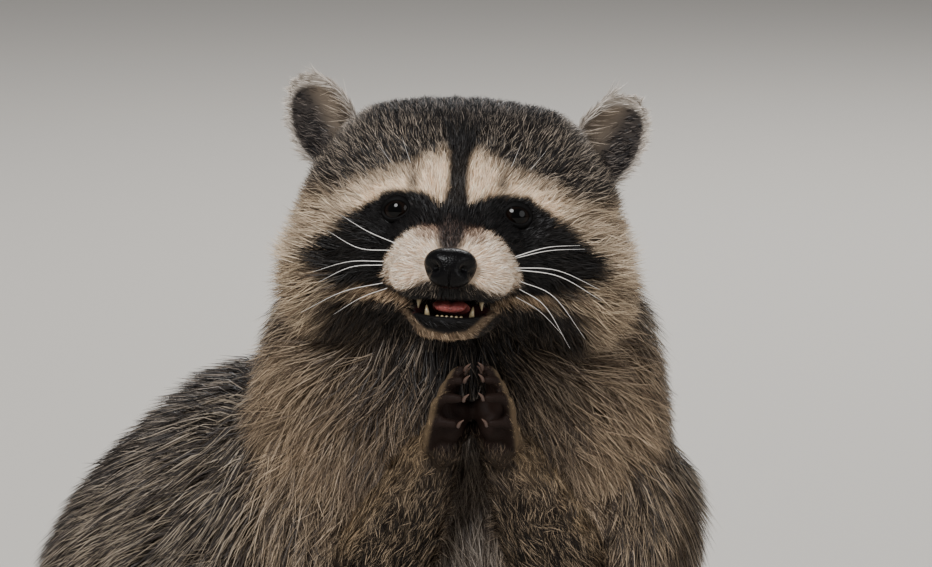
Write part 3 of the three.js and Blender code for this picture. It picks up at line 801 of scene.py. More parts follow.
def markings(points, field):
    """The looks of the places given, laid on from the body's main coat to the face's details."""
    look = np.zeros((len(points), 7))
    # The trunk and limbs: grizzled, darker along the spine and tan on the chest and shoulders,
    # with painted shade on the throat, under the chin and between the forepaws.
    x, y, z = points.T
    front = smoothstep(-0.1, -0.5, field["dorsal"])
    fore = field["chest"] + field["neck"]
    lay(look, np.ones(len(points)), "grizzle")
    lay(look, smoothstep(0.35, 0.85, field["dorsal"]) * 0.85, "spine")
    lay(look, smoothstep(-0.2, -0.75, field["dorsal"]) * 0.7, "belly")
    lay(look, fore * front, "breast")
    outer = smoothstep(34, 66, np.abs(x + 5)) * smoothstep(150, 215, z)
    lay(look, fore * outer * front, "shoulder")
    lay(look, field["upper_arm"], "upper_arm")
    lay(look, field["forearm"], "forearm")
    lay(look, field["forearm"] * field["upper_edge"], "forearm_edge")
    lay(look, field["hand"], "hand")
    lay(look, field["hand"] * field["knuckle_side"], "knuckles")
    lay(look, field["hand"] * field["palm_side"], "palm")
    # Painted shade: a soft dark oval on the chest under the chin and head.
    shade = oval(x, z, (-4, 264), (66, 46), 0.5)
    lay(look, fore * shade * front * 0.8, "painted_shade_under_chin")
    wedge = oval(x, z, (-2, 196), (15, 46), 0.3)
    lay(look, (fore * front + 0.7 * field["upper_arm"]) * wedge, "wedge")
    # Painted shade: the chest hair seen between and behind the forepaws is darkened nearly to black.
    shade_behind_hands = oval(x, z, (-2, 262), (17, 24), 0.4)
    lay(look, fore * shade_behind_hands * front, "shade_behind_hands")
    for part in ("thigh", "shank", "foot", "tail"):
        lay(look, field[part], part)
    ring = np.max([smoothstep(RING_WIDTH, RING_WIDTH * 0.55, np.abs(field["tail_along"] - at))
                   for at in RINGS], axis=0)
    ring = np.maximum(ring, smoothstep(0.9, 0.94, field["tail_along"]))
    lay(look, field["tail"] * ring, "ring")
    # The throat under the chin: partly its own dark hair, partly painted shade under the chin.
    throat = oval(x, z, (-5, 282), (48, 26), 0.45)
    lay(look, field["neck"] * throat * smoothstep(30, 0, y), "throat")

    # The head: crown darkened towards its top by painted shade, ruff, dark throat under the jaw
    # deepened by painted shade, brows and the stripe between them.
    x, y, z = in_head(points).T
    side = np.abs(x)
    head = field["head"]
    lay(look, head, "crown")
    # Painted shade: the crown is darker towards its top.
    lay(look, head * smoothstep(32, 46, z), "crown_top_shade")
    by_cheek = smoothstep(8, -6, z - side * 0.1) * smoothstep(30, 50, side + y * 0.25)
    lay(look, head * by_cheek, "ruff")
    # Under the jaw: partly dark throat hair, partly painted shade under the jaw.
    below = smoothstep(-34, -42, z) * smoothstep(62, 50, side)
    lay(look, head * below, "under_jaw_dark_and_shade")
    low_brow = within(z, BROW_LOW, side, 1.4)
    brow = within(z, BROW_TOP, side, 6) * (1 - low_brow)
    brow *= smoothstep(58, 34, y) * head
    lay(look, brow, "brow_end")
    lay(look, brow * smoothstep(50, 38, side), "brow")
    brush = np.exp(-(((side - 18.5) / 2.6) ** 2)) * smoothstep(6, 12, z)
    lay(look, brow * brush * 0.9, "brush")
    stripe = smoothstep(1.6, -1.6, side - np.interp(z, *STRIPE)) * smoothstep(60, 40, y)
    lay(look, head * stripe * smoothstep(46, 30, z), "stripe")

    # The mask, the muzzle, the tan edge of chin and lips, and the black lips.
    ahead = smoothstep(44, 26, y)
    mask = np.maximum(oval(side, z, (36.5, -15.5), (28, 20)), oval(side, z, (22, -1), (26, 10.5)))
    mask = np.maximum(mask, oval(side, z, (38, -21), (20, 11.5)))
    lay(look, head * mask * low_brow * ahead, "mask")
    bridge = oval(x, z, (0, -3), (13, 8), 0.3) * low_brow
    lay(look, head * bridge, "bridge")
    side = np.abs(x - MUZZLE_MIDDLE)
    smile = smoothstep(3.4, 1.4, np.abs(z - np.interp(side, *SMILE)))
    smile *= smoothstep(48, 34, side) * smoothstep(24, 4, y)
    lay(look, head * smile, "lip_edge")
    muzzle = within(z, MUZZLE_TOP, side, 1.3) * smoothstep(5, -5, y)
    muzzle *= 1 - within(z, MUZZLE_LOW, side, 1.3)
    muzzle *= smoothstep(31, 28, side)
    lay(look, head * muzzle, "muzzle")
    rust = oval(side, z, (9, -8.6), (5.6, 3), 0.5) * smoothstep(0, -8, y)
    lay(look, head * rust * 0.7, "rust")
    eye_reach = np.min([np.linalg.norm(points - place, axis=1) for place in eye_places], axis=0)
    by_eye = smoothstep(17, 14.5, eye_reach) * smoothstep(3, -1, z)
    lay(look, head * by_eye, "mask")
    nose_bridge = oval(x, z, (MUZZLE_MIDDLE, -9.5), (5.4, 7.5), 0.35)
    lay(look, head * nose_bridge, "nose_bridge")
    # The chin: black hair with grey hairs among it, which stand partly for a painted sheen on the black
    # hair.
    chin = smoothstep(-38, -40, z) * smoothstep(1.6, 3.4, z - np.interp(side, *SMILE))
    chin *= smoothstep(17.5, 15, side) * smoothstep(-10, -16, y)
    lay(look, head * chin, "chin")
    upper_lip = smoothstep(-33, -35, z + np.clip(7 - side, 0, 7) * 0.5) * smoothstep(21, 17, side)
    lay(look, head * upper_lip * smoothstep(-8, -16, y) * (z > -40), "upper_lip")
    lay(look, field["lip"], "lip")

    # The ears: dark, with a broad pale rim and pale hair on the inner side of the mouth.
    for s, (origin, rotation) in zip(SIDES, ear_frames):
        ex, _, ez = ((points - origin) @ rotation).T
        rim = np.hypot(ex / EAR["radii"][0], ez / EAR["radii"][2])
        mine = field["ear"] * (rim < 1.7)
        lay(look, mine, "ear")
        inner = smoothstep(4, -5, ex * s) * smoothstep(24, 14, ez) * field["ear_front"]
        lay(look, mine * inner, "ear_inside")
        edge = 0.73 + 0.13 * smoothstep(-0.3, 0.6, ex * s / EAR["radii"][0])
        lay(look, mine * smoothstep(edge, edge + 0.1, rim), "ear_rim")
    return look


# ---- Coat ----
# Solid tapering hairs rooted in the hide, gathered into locks. They rise from it, bend over along
# the coat's lie, and end where the body's outline is. Dark at the root, full colour at the tip: the
# darkening is partly the hair's own dark base and partly painted shade deep in the coat.

PATCH = 0.003  # each hair's share of the unwrap
STRIP_MARGIN = 0.004
FLOOR_HAIR = 0.4
SHOWN_SHARE = 0.6  # of the way from root to tip, where a hair's colour is seen and so is chosen
BARE_EYE = {"radius": 10.4, "angle": np.radians(41)}
HAIR_STEPS = np.array([0, 0.5, 1])  # along a hair: two pairs of corners, and one at its tip
CORNER_STEPS = HAIR_STEPS[[0, 0, 1, 1, 2]]
HAIR_FACES = np.array([[0, 1, 3], [0, 3, 2], [2, 3, 4]])
ROOTED = 0.25  # mm that a hair's root lies under the hide
PALM_EDGE = [0.25, 0.85]  # how palmar the hide is where hairs begin to thin out, and where they end
MOST_CHANCE = 1.8  # standard deviations that a hair differs from the usual at most
SWIRL = [0.4, 2.3]  # how far the locks' cells wave, in cells, and how quickly
OWN_WAY = 0.6  # how far a hair strays from its lock's heading, over how far the lock strays
LENGTH_SPREAD = [0.16, 0.08]  # of each hair and of each lock, as logarithms
RISE_SPREAD = [0.82, 0.1]  # a hair's height over the coat's depth: mean and spread
LEAST_REACH = 0.4  # how far it runs along the hide at least, over its length
LEAST_RISE = 0.12
MOST_ROLL = 1.15  # radians that its flat side turns either way
WIDTH_RANGE = [0.7, 1.3]
TONE_SPREAD = [0.16, 0.1]  # of each hair and of each lock, as logarithms

skin.data.calc_loop_triangles()
triangles = np.empty(len(skin.data.loop_triangles) * 3, np.int32)
skin.data.loop_triangles.foreach_get("vertices", triangles)
triangles = triangles.reshape(-1, 3)
edge_a = hide[triangles[:, 1]] - hide[triangles[:, 0]]
edge_b = hide[triangles[:, 2]] - hide[triangles[:, 0]]
areas = np.linalg.norm(np.cross(edge_a, edge_b), axis=1) / 2
body_width = np.array([form["sizes"].mean() for form in forms])[owner]


def bare(points):
    """Where no hair grows on the head: the eyes, the nose, the lips and the mouth's inside."""
    x, y, z = in_head(points).T
    eyes = np.zeros(len(points), bool)
    for place, looks in zip(eye_places, eye_looks):
        offset = points - place
        far = np.linalg.norm(offset, axis=1)
        eyes |= (far < BARE_EYE["radius"]) & (offset @ looks > far * np.cos(BARE_EYE["angle"]))
    nose = (np.hypot(x / 9.6, (z + 22.4) / 7.4) < 1) & (y < -38)
    mouth = (np.abs(x) < 15) & (z < -35.6) & (z > -43.4 + 0.012 * x**2) & (y < 0)
    return eyes | nose | mouth


def tinted(piece, name, colours):
    """Keeps a colour for each corner of the piece, which its material reads by name."""
    values = np.ones((len(colours), 4), np.float32)
    values[:, :3] = colours
    layer = piece.data.attributes.new(name, "FLOAT_COLOR", "POINT")
    layer.data.foreach_set("color", values.ravel())


def hair_colours(rng, looks, lock_tones):
    """A hair is deep or bright by its place's share, a little lighter or darker by chance, and
    darker towards its root, partly its own dark base and partly painted shade deep in the coat;
    the paler the place, the less and the nearer the root it darkens."""
    bright = rng.random(len(looks)) < looks[:, 6]
    full = np.where(bright[:, None], looks[:, 3:6], looks[:, :3])
    tone = TONE_SPREAD[0] * rng.normal(size=len(looks)) + TONE_SPREAD[1] * lock_tones
    full = full * np.exp(tone)[:, None]
    pale = smoothstep(0.3, 0.7, looks[:, :3].mean(1))[:, None]
    # Painted shade, with the hair's own dark base: the root end is darker than the tip.
    dark = (0.6 + 0.34 * pale) * (0.6 * looks[:, :3] + 0.4 * full)
    fade = CORNER_STEPS[None, :, None] ** (1.25 - 0.45 * pale)[:, None]
    colours = dark[:, None] + (full - dark)[:, None] * np.minimum(1.25 * fade, 1)
    return np.clip(colours, 0, 1).reshape(-1, 3)


def unwrap(piece, faces, corners, mix):
    """Gives each form a strip of the unwrap's square, as wide as its share of the roots, and each
    hair a patch there, at its root's angle round the form and its share along it."""
    used, strip = np.unique(owner[corners[:, 0]], return_inverse=True)
    strip = strip.ravel()
    edges = np.cumsum(np.concatenate([[0], np.bincount(strip)])) / len(corners)
    round_it = rounds[used[strip], corners[:, 0]]
    along_it = np.clip(alongs[used[strip], corners[:, 0]], STRIP_MARGIN, 1 - STRIP_MARGIN)
    place = np.stack([edges[strip] + round_it * (edges[strip + 1] - edges[strip]), along_it], 1)
    place = np.clip(place + (mix[:, :2] - 0.4) * 2 * PATCH, PATCH, 1 - PATCH)
    patch = np.stack([[-0.5, 0.5, -0.5, 0.5, -0.5], CORNER_STEPS - 0.5], 1)
    corner_places = (place[:, None] + PATCH * patch).reshape(-1, 2)[faces.ravel()]
    flat = piece.data.uv_layers.new(name="OFBake")
    flat.data.foreach_set("uv", corner_places.astype(np.float32).ravel())


def tufts(name, names, lock_size, pull, mess, droop, slot, seed, only=True):
    """Hairs on the named parts. A hair's middle line leaves its root along the lie by its length
    times s, rises by its depth times 1.75 s less 0.75 s squared, and bends aside by s squared;
    each hair's tip is then pulled towards the mean tip of its lock, and its width tapers to a
    point."""
    rng = np.random.default_rng(seed)
    chosen = np.isin(parts[owner], names) & only
    weights = areas * crowd[triangles].mean(1) * chosen[triangles[:, 0]] / 100
    count = int(weights.sum())
    total = np.cumsum(weights)
    face = np.minimum(np.searchsorted(total, rng.random(count) * total[-1]), len(total) - 1)
    split = rng.random((count, 2))
    split = np.where(split.sum(1, keepdims=True) > 1, 1 - split, split)
    mix = np.column_stack([1 - split.sum(1), split])
    corners = triangles[face]

    def at_root(values):
        return np.einsum("ij,ij...->i...", mix, values[corners])

    # Palms are bare, and the hairs thin out towards them.
    keep = ~bare(at_root(hide)) & (at_root(palmar) < rng.uniform(*PALM_EDGE, count))
    mix, corners = mix[keep], corners[keep]
    count = len(mix)
    root = at_root(hide)
    normal = unit(at_root(hide_normals))
    heading = at_root(lie)
    heading = unit(heading - normal * (heading * normal).sum(1, keepdims=True))
    swirl = SWIRL[0] * lock_size * np.sin(root[:, [1, 2, 0]] / lock_size * SWIRL[1])
    cells = np.floor((root + swirl) / lock_size)
    _, lock = np.unique(cells, axis=0, return_inverse=True)
    lock = lock.ravel()
    lock_chance = rng.normal(size=(lock.max() + 1, 3))[lock]
    chance = np.clip(rng.normal(size=(count, 4)), -MOST_CHANCE, MOST_CHANCE)
    angle = mess * (lock_chance[:, 0] + OWN_WAY * chance[:, 0])
    across = np.cross(normal, heading)
    heading = heading * np.cos(angle)[:, None] + across * np.sin(angle)[:, None]
    stretch = LENGTH_SPREAD[0] * chance[:, 1] + LENGTH_SPREAD[1] * lock_chance[:, 1]
    long = at_root(length) * np.exp(stretch)
    over = at_root(depth) * (RISE_SPREAD[0] + RISE_SPREAD[1] * chance[:, 2])
    reach = np.sqrt(np.maximum(long**2 - over**2, (LEAST_REACH * long) ** 2))
    # A hair that follows its heading off a rounded body stands further out at its tip.
    spare = 0.5 * reach**2 / np.maximum(2 * at_root(body_width), 1)
    rise = np.maximum(over - spare, LEAST_RISE * over)
    s = HAIR_STEPS[None, :, None]
    path = root[:, None] - normal[:, None] * ROOTED
    path = path + heading[:, None] * reach[:, None, None] * s
    path = path + normal[:, None] * rise[:, None, None] * (1.75 * s - 0.75 * s**2)
    aside = unit(np.cross(heading, normal))
    sway = mess * 0.5 * chance[:, 3] * long
    path = path + aside[:, None] * sway[:, None, None] * s**2
    path = path - np.array([0, 0, 1]) * (droop * long)[:, None, None] * s**2
    tips = path[:, -1]
    sums = np.stack([np.bincount(lock, tips[:, k]) for k in range(3)], 1)
    lock_tip = (sums / np.bincount(lock)[:, None])[lock]
    path = path + ((lock_tip - tips) * pull)[:, None] * s**1.6
    path[..., 2] = np.maximum(path[..., 2], FLOOR_HAIR)
    roll = rng.uniform(-MOST_ROLL, MOST_ROLL, count)[:, None]
    side = aside * np.cos(roll) + normal * np.sin(roll)
    thick = at_root(width) * rng.uniform(*WIDTH_RANGE, count) / 2
    taper = np.interp(s, [0, 0.4, 1], [0.8, 1, 0])
    spread = side[:, None] * thick[:, None, None] * taper
    left = path[:, :-1] + spread[:, :-1]
    right = path[:, :-1] - spread[:, :-1]
    strip = np.stack([left, right], 2).reshape(count, -1, 3)
    points = np.concatenate([strip, path[:, -1:]], 1)
    first = len(CORNER_STEPS) * np.arange(count)[:, None, None]
    faces = (HAIR_FACES + first).reshape(-1, 3)
    piece = surface(name, points, faces)
    shown = root + (path[:, -1] - root) * SHOWN_SHARE
    looks = markings(shown, {key: at_root(value) for key, value in fields.items()})
    tinted(piece, "coat", hair_colours(rng, looks, lock_chance[:, 2]))
    unwrap(piece, faces, corners, mix)
    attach(piece, "root")
    return piece


def add(material, kind, settings, **links):
    """Adds a node with its settings, by property or socket name, and links its inputs."""
    made = material.node_tree.nodes.new("ShaderNode" + kind)
    for key, value in settings.items():
        if hasattr(made, key):
            setattr(made, key, value)
        else:
            made.inputs[key].default_value = value
    for key, source in links.items():
        material.node_tree.links.new(source, made.inputs[key.replace("_", " ")])
    return made


def new_material(name):
    """An empty node material."""
    material = bpy.data.materials.new(name)
    material.use_nodes = True
    material.node_tree.nodes.clear()
    return material


def grain(material, kind, settings):
    """A texture that lies in the piece's own coordinates."""
    coords = add(material, "TexCoord", {})
    return add(material, kind, settings, Vector=coords.outputs["Object"])


def cover(material, pieces, settings, **links):
    """Ends a material with its Principled shader and puts it on the pieces."""
    shader = add(material, "BsdfPrincipled", settings, **links)
    add(material, "OutputMaterial", {}, Surface=shader.outputs["BSDF"])
    for piece in pieces:
        piece.data.materials.append(material)


FACE_REACH = 66  # mm from the nose's tip, where the face's coat ends and crown and ruffs begin
CROWN_HEIGHT = 4  # above which it is crown and below which ruff

on_face = nose_reach < FACE_REACH
high = hz > CROWN_HEIGHT
TUFTS = [  # piece, its parts, size of a lock, pull into it, mess, droop, slot, seed and where
    ("coat_face", ("skull", "jaw", "lip"), 2.4, 0.25, 0.14, 0, "grizzled_coat", 11, on_face),
    ("coat_crown", ("skull", "jaw"), 3, 0.3, 0.2, 0.02, "grizzled_coat", 12, ~on_face & high),
    ("coat_ruffs", ("skull", "jaw"), 4, 0.3, 0.24, 0.04, "grizzled_coat", 21, ~on_face & ~high),
    ("coat_ears", ("ear",), 2.4, 0.2, 0.25, 0, "dark_coat", 13),
    ("coat_neck", ("neck",), 6, 0.32, 0.34, 0.12, "grizzled_coat", 14),
    ("coat_chest", ("chest",), 7, 0.34, 0.36, 0.12, "grizzled_coat", 15),
    ("coat_back", ("back",), 8, 0.38, 0.24, 0.06, "grizzled_coat", 16),
    ("coat_haunches", ("thigh", "shank"), 7, 0.36, 0.26, 0.06, "grizzled_coat", 17),
    ("coat_forelegs", ("upper_arm", "forearm"), 5, 0.34, 0.3, 0.06, "dark_coat", 18),
    ("coat_paws", ("palm", "finger", "foot", "toe"), 2, 0.2, 0.2, 0.06, "paw_skin", 19),
    ("coat_tail", ("tail",), 6, 0.32, 0.18, 0.03, "dark_coat", 20),
]
coats = [tufts(*row) for row in TUFTS]

# Raccoon hair: keratin, smooth and a little greasy, so each hair has a soft, faint glint.
hair = new_material("raccoon_hair")
tint = add(hair, "Attribute", {"attribute_name": "coat"})
mottle = grain(hair, "TexNoise", {"Scale": 60.0, "Detail": 3.0})
strength = add(hair, "MapRange", {"To Min": 0.82, "To Max": 1.18}, Value=mottle.outputs["Fac"])
shade = add(hair, "VectorMath", {"operation": "SCALE"}, Vector=tint.outputs["Color"],
            Scale=strength.outputs["Result"])
cover(hair, coats, {"Roughness": 0.5, "Specular IOR Level": 0.22, "IOR": 1.55},
      Base_Color=shade.outputs["Vector"])


# ---- Hide ----
# The skin's own surface: its hair's markings, darkened as painted shade under the coat, and bare
# dark skin on palms, lips, nose and the mouth's inside. Supple, finely pored and matt.

look = markings(hide, fields)
# Painted shade: where hair covers it, the hide takes its hair's markings, darkened.
under = (0.5 + 0.4 * smoothstep(0.3, 0.7, look[:, :1])) * (look[:, :3] * 0.7 + look[:, 3:6] * 0.3)
naked = bare(hide)
under[naked] = linear("#0c0909")
under[palmar > 0.4] = linear("#1a100c")
inside = (np.abs(hx) < 15) & (hy > -31) & (hy < 8) & (hz < -34) & (hz > -43)
under[inside] = linear("#2b1315")
tinted(skin, "hide", under)

hide_material = new_material("raccoon_hide")
tint = add(hide_material, "Attribute", {"attribute_name": "hide"})
pores = grain(hide_material, "TexNoise", {"Scale": 900.0, "Detail": 4.0})
relief = add(hide_material, "Bump", {"Strength": 0.35, "Distance": 0.0004}, Height=pores.outputs["Fac"])
cover(hide_material, [skin], {"Roughness": 0.68, "Specular IOR Level": 0.12},
      Base_Color=tint.outputs["Color"], Normal=relief.outputs["Normal"])


# ---- Eyes ----
# Dark brown, nearly black, wet and domed. Each is a ball whose front bulges a little as the
# cornea does, with the pupil and iris as rings of colour.

IRIS_ANGLES = [0.0, 0.36, 0.42, 0.8, 0.86, 3.2]
IRIS_COLOURS = ["#010101", "#010101", "#120a06", "#090503", "#020202", "#020202"]
CORNEA_BULGE = 0.35


def frame_of(forward):
    """Sideways, up and backwards for something that looks forward."""
    sideways = unit(np.cross(forward, [0, 0, 1]))
    return sideways, np.cross(sideways, forward), -forward


eyeballs = []
for side_name, place, looks in zip(("right", "left"), eye_places, eye_looks):
    ways = frame_of(looks)
    grid = sphere(49, 64)
    angle = np.arccos(np.clip(-grid[..., 2:3], -1, 1))
    radius = EYE["radius"] - 0.15 + CORNEA_BULGE * np.exp(-((angle / 0.55) ** 2))
    points = place + radius * (grid @ np.stack(ways))
    eye = surface(f"eyeball_{side_name}", points, grid_faces(*grid.shape[:2]))
    shades = np.array([linear(colour) for colour in IRIS_COLOURS]).T
    rings = [np.interp(angle.ravel(), IRIS_ANGLES, shade) for shade in shades]
    tinted(eye, "iris", np.stack(rings, 1))
    eyeballs.append(eye)
    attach(eye, "root")
    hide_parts(f"eye_{side_name}")

cornea = new_material("wet_cornea")
tint = add(cornea, "Attribute", {"attribute_name": "iris"})
cover(cornea, eyeballs, {"Roughness": 0.05, "IOR": 1.376, "Specular IOR Level": 0.24},
      Base_Color=tint.outputs["Color"])


# ---- Eyelids ----
# Black bare rims round an almond opening, folded over the eyeball and running out under the
# hair. They are one with the hide.

LID_OPENING = np.array([0.66, 0.43])  # half width and half height, radians about the eye
LID_OUTER = np.array([1.02, 0.92])
LID_SLANT = 0.16
LID_ROWS = 14

lid_points = []
for s, place, looks in zip(SIDES, eye_places, eye_looks):
    ways = np.stack(frame_of(looks))
    out = np.linspace(0, 1, LID_ROWS)[:, None]
    around = np.linspace(0, 2 * np.pi, 72, endpoint=False)[None]
    width_angle = LID_OPENING[0] + (LID_OUTER[0] - LID_OPENING[0]) * out
    height_angle = LID_OPENING[1] + (LID_OUTER[1] - LID_OPENING[1]) * out
    # The almond: a flattened circle whose corners are drawn out, the upper edge rounder.
    pointed = np.abs(np.sin(around)) ** (1.25 - 0.25 * out)
    a = width_angle * np.cos(around)
    b = height_angle * np.sign(np.sin(around)) * pointed * np.where(np.sin(around) > 0, 1.0, 0.9)
    b = b + LID_SLANT * a * s
    # Radius: from the eyeball's surface over a rounded edge, then sinking under the hide.
    lift = np.interp(out, [0, 0.05, 0.14, 0.45, 1], [-0.25, 0.4, 0.8, 0.8, 0.1])
    radius = EYE["radius"] + lift
    grid = np.stack([np.sin(a) * np.cos(b), np.sin(b), -np.cos(a) * np.cos(b)], -1)
    lid_points.append(place + radius[..., None] * (grid @ ways))
lids = surface("eyelids", *joined(lid_points))
tinted(lids, "hide", np.tile(linear("#040303"), (len(lids.data.vertices), 1)))
lids.data.materials.append(hide_material)
with bpy.context.temp_override(active_object=skin, selected_editable_objects=[skin, lids]):
    bpy.ops.object.join()


# ---- Nose ----
# Moist black leather, finely pebbled, with a broad flat top, two comma nostrils open to the
# sides and a groove down the middle.

NOSE = {"place": [0, -48.3, -22.8], "radii": [10.8, 8.2, 8.2], "squareness": 2.6}
NOSTRIL = {"toward": [0.8, -0.6, 0.0], "width": 0.25, "depth": 4.2}
NOSTRIL_SLIT = {"toward": [0.97, -0.2, -0.16], "width": 0.16, "depth": 2.0}

grid = sphere(97, 128)
side, forward, up = np.abs(grid[..., 0]), -grid[..., 1], grid[..., 2]
radii = np.array(NOSE["radii"])
power = NOSE["squareness"]
radius = ((np.abs(grid) / radii) ** power).sum(-1) ** (-1 / power)
hollow = np.zeros(radius.shape)
for dent in (NOSTRIL, NOSTRIL_SLIT):
    toward = unit(np.array(dent["toward"]))
    apart = np.stack([side - toward[0], forward + toward[1], (up - toward[2]) * 1.25], -1)
    hollow += dent["depth"] * np.exp(-((apart**2).sum(-1)) / (2 * dent["width"] ** 2))
groove = (0.9 * np.exp(-((side / 0.07) ** 2)) * smoothstep(0.15, -0.3, up)
          * smoothstep(0.1, 0.5, forward))
radius = radius - hollow - groove
shape = grid * radius[..., None]
shape[..., 0] *= 1 - 0.24 * smoothstep(0.2, -0.9, up)
nose = surface("nose_pad", from_head(shape + NOSE["place"]), grid_faces(*grid.shape[:2]))
leather = new_material("moist_nose_leather")
pebbles = grain(leather, "TexVoronoi", {"Scale": 1500.0, "feature": "SMOOTH_F1"})
damp = grain(leather, "TexNoise", {"Scale": 220.0, "Detail": 3.0})
gloss = add(leather, "MapRange", {"To Min": 0.2, "To Max": 0.42}, Value=damp.outputs["Fac"])
relief = add(leather, "Bump", {"Strength": 0.5, "Distance": 0.0003}, Height=pebbles.outputs["Distance"])
cover(leather, [nose], {"Base Color": (*linear("#060506"), 1), "Specular IOR Level": 0.12},
      Roughness=gloss.outputs["Result"], Normal=relief.outputs["Normal"])
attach(nose, "root")
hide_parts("nose")


# ---- Mouth ----
# A pink tongue behind the lower teeth, slender curved canines above and below, and a row of
# small incisors along the lower gum.

TONGUE = [
    [0, -33.5, -39.4, 5.6, 1.7, 1.8], [0, -27, -37.6, 7, 2.2, 2.4], [0, -17, -38.8, 7.5, 2, 3],
    [0, -8, -38.5, 7.5, 2, 3],
]
TONGUE_GROOVE = {"depth": 0.9, "width": 1.1}
UPPER_CANINE = ([12.4, -28.6, -33], [12.8, -30.2, -39.4], 1.2)
LOWER_CANINE = ([8.8, -32, -43.5], [9.4, -33.2, -37.8], 1.2)
LOWER_INCISORS = [1.0, 2.9, 4.8]
LOWER_ROW = {"y": -34.6, "z": -43.0, "height": 1.2, "radius": 0.72}

form = swept(TONGUE, 40)
points = sections(form, 40, 2.0)
groove = TONGUE_GROOVE["depth"] * np.exp(-((points[..., 0] / TONGUE_GROOVE["width"]) ** 2))
points[..., 2] -= groove * (points[..., 2] > form["centre"][:, None, 2])
tongue = surface("tongue_flesh", from_head(points), grid_faces(*points.shape[:2]))
mucosa = new_material("tongue_mucosa")
buds = grain(mucosa, "TexVoronoi", {"Scale": 1300.0})
relief = add(mucosa, "Bump", {"Strength": 0.4, "Distance": 0.0003}, Height=buds.outputs["Distance"])
cover(mucosa, [tongue], {"Base Color": (*linear("#a0544f"), 1), "Roughness": 0.35,
                         "Subsurface Weight": 0.2, "Subsurface Scale": 0.001},
      Normal=relief.outputs["Normal"])
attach(tongue, "root")
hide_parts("tongue")


def spike(root, tip, bend, radius, around=14):
    """A round horn from root to tip that swells from the root and tapers to a blunt point: its
    sections run along the curve through root, a middle pushed aside by the bend, and tip."""
    root, tip = np.array(root, float), np.array(tip, float)
    middle = root + (tip - root) * 0.5 + bend
    stations = [[*root, radius], [*middle, radius * 0.78], [*tip, radius * 0.16]]
    return sections(swept(stations, 18, across=(0.31, 0.83, -0.46)), around, 2.0)


def ramp(material, source, low, high, high_at=1.0):
    """The colour between low and high that is as far along as the source is towards high_at."""
    tone = add(material, "ValToRGB", {}, Fac=source)
    tone.color_ramp.elements[0].color = (*linear(low), 1)
    tone.color_ramp.elements[1].color = (*linear(high), 1)
    tone.color_ramp.elements[1].position = high_at
    return tone.outputs["Color"]


teeth_grids = []
for s in SIDES:
    mirror = np.array([s, 1, 1])
    for root, tip, radius in (UPPER_CANINE, LOWER_CANINE):
        bend = np.array([0, -0.9, 0])
        teeth_grids.append(spike(np.array(root) * mirror, np.array(tip) * mirror, bend, radius))
    for x in LOWER_INCISORS:
        root = np.array([s * x, LOWER_ROW["y"] + 0.045 * x**2, LOWER_ROW["z"]])
        tip = root + [0, -0.3, LOWER_ROW["height"]]
        stations = [[*root, LOWER_ROW["radius"]], [*(root + tip) / 2, LOWER_ROW["radius"]],
                    [*tip, LOWER_ROW["radius"] * 0.8]]
        teeth_grids.append(sections(swept(stations, 10), 12, 2.3))
points, faces = joined(teeth_grids)
teeth = surface("teeth", from_head(points), faces)
enamel = new_material("tooth_enamel_in_shade")
# Painted shade: the enamel is a dim yellow-grey, as it looks in the mouth's shade, varied by stains.
stain = grain(enamel, "TexNoise", {"Scale": 400.0, "Detail": 3.0})
cover(enamel, [teeth], {"Roughness": 0.28, "IOR": 1.62},
      Base_Color=ramp(enamel, stain.outputs["Fac"], "#6e5f45", "#a39472"))
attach(teeth, "root")


# ---- Claws ----
# Horn: slender and hooked on the forepaws, straighter on the hind feet. Brown at the root and
# paler and clearer towards the tip.

claw_grids = [spike(*claw) for claw in claws]
nails = surface("claws", *joined(claw_grids))
worn = [np.repeat(np.linspace(0, 1, grid.shape[0]), grid.shape[1]) for grid in claw_grids]
worn_along = nails.data.attributes.new("worn", "FLOAT", "POINT")
worn_along.data.foreach_set("value", np.concatenate(worn).astype(np.float32))
horn = new_material("claw_horn")
along_claw = add(horn, "Attribute", {"attribute_name": "worn"})
growth = grain(horn, "TexNoise", {"Scale": 700.0, "Detail": 2.0})
relief = add(horn, "Bump", {"Strength": 0.25, "Distance": 0.0002}, Height=growth.outputs["Fac"])
cover(horn, [nails], {"Roughness": 0.33, "IOR": 1.55}, Normal=relief.outputs["Normal"],
      Base_Color=ramp(horn, along_claw.outputs["Fac"], "#2c1f1b", "#5c463b", 0.8))
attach(nails, "root")
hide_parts(*[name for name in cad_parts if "claw" in name])


# ---- Whiskers ----
# Stiff white bristles from the muzzle's sides, each one tapering and sagging a little outwards,
# and a few finer ones over the eyes.

WHISKERS = [  # root and tip in the head's frame, sag and radius
    ((-23.5, -24, -13.8), (-48, -4, -2.9), 1.0, 0.24), ((-25.5, -23, -16.8), (-53, -2, -9.8), 3.0, 0.25),
    ((-28, -21, -21.3), (-58, 0, -27), -2.0, 0.24), ((-28.5, -21, -22.8), (-55, -8, -31), -2.6, 0.24),
    ((-28, -20, -30), (-62, -4, -44), -2.4, 0.2), ((-26, -22, -32), (-48, -14, -44), -1.4, 0.17),
    ((23.7, -24, -17.3), (51, -6, -10.8), -1.6, 0.25), ((23.2, -23, -18), (53, 0, -12.2), -1.4, 0.24),
    ((24.2, -23, -21.3), (60, -4, -28.5), -3.4, 0.26), ((25.2, -22, -22), (61, -12, -33), -3.6, 0.25),
    ((27.7, -21, -26.7), (55, -8, -49), -5.6, 0.22), ((27.2, -21, -29.7), (49, -14, -53), -5.0, 0.2),
    ((26, -20, -33), (46, -10, -48), -2.0, 0.16), ((-16, 2, 12), (-24, -6, 30), 1.6, 0.14),
    ((17, 2, 12), (25, -6, 30), 1.6, 0.14), ((-19, 2, 11), (-34, -2, 27), 1.6, 0.13),
    ((20, 2, 11), (35, -2, 27), 1.6, 0.13),
]

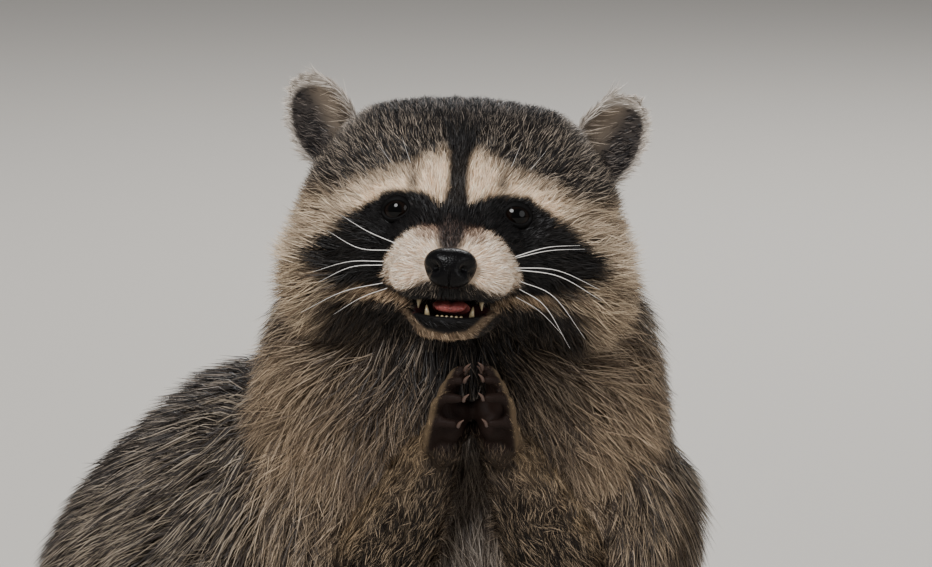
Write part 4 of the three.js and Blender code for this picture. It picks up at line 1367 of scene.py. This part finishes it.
WHISKER_FINENESS = 0.75
whisker_grids = []
for root, tip, sag, radius in WHISKERS:
    root, tip = np.array(root, float), np.array(tip, float)
    middle = (root + tip) / 2 - [0, 0, sag]
    radius *= WHISKER_FINENESS
    stations = [[*root, radius], [*middle, radius * 0.8], [*tip, radius * 0.2]]
    whisker_grids.append(sections(swept(stations, 24, across=(0.2, 0.3, 1)), 6, 2.0))
points, faces = joined(whisker_grids)
whiskers = surface("whiskers", from_head(points), faces)
bristle = new_material("white_whisker")
streak = grain(bristle, "TexNoise", {"Scale": 300.0})
cover(bristle, [whiskers], {"Roughness": 0.35, "IOR": 1.55},
      Base_Color=ramp(bristle, streak.outputs["Fac"], "#d5d0ca", "#fbf8f4"))
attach(whiskers, "root")


# ---- Stage ----
# A plain pale floor under soft studio light.

FLOOR_HALF = 15000.0  # mm
WORLD_STRENGTH = 0.42
LIT_PLACE = np.array([0.1, -0.1, 0.25])  # m, where the lamps are aimed

floor_corners = np.array([[-1, -1, 0], [1, -1, 0], [1, 1, 0], [-1, 1, 0]]) * FLOOR_HALF
floor = surface("floor", floor_corners - ORIGIN, np.array([[0, 1, 2, 3]]))
paper = new_material("pale_paper")
cover(paper, [floor], {"Base Color": (*linear("#cfcac2"), 1), "Roughness": 0.9})

LAMPS = [  # name, place, size and watts
    ("key", (-0.9, -2.0, 2.2), 1.1, 94),
    ("fill", (2.0, -1.6, 1.1), 1.8, 24),
    ("rim", (0.6, 2.2, 1.8), 1.4, 40),
]
for name, place, size, watts in LAMPS:
    lamp_data = bpy.data.lights.new(name, "AREA")
    lamp_data.shape = "DISK"
    lamp_data.size = size
    lamp_data.energy = watts
    lamp = bpy.data.objects.new(name, lamp_data)
    bpy.context.scene.collection.objects.link(lamp)
    lamp.location = place
    aim = unit(LIT_PLACE - np.array(place))
    lamp.rotation_euler = (np.arccos(-aim[2]), 0, np.arctan2(-aim[0], aim[1]))
    lamp.visible_camera = False
world = bpy.data.worlds.new("studio")
world.use_nodes = True
background = world.node_tree.nodes["Background"]
background.inputs["Color"].default_value = (*linear("#dcdcde"), 1)
background.inputs["Strength"].default_value = WORLD_STRENGTH
bpy.context.scene.world = world
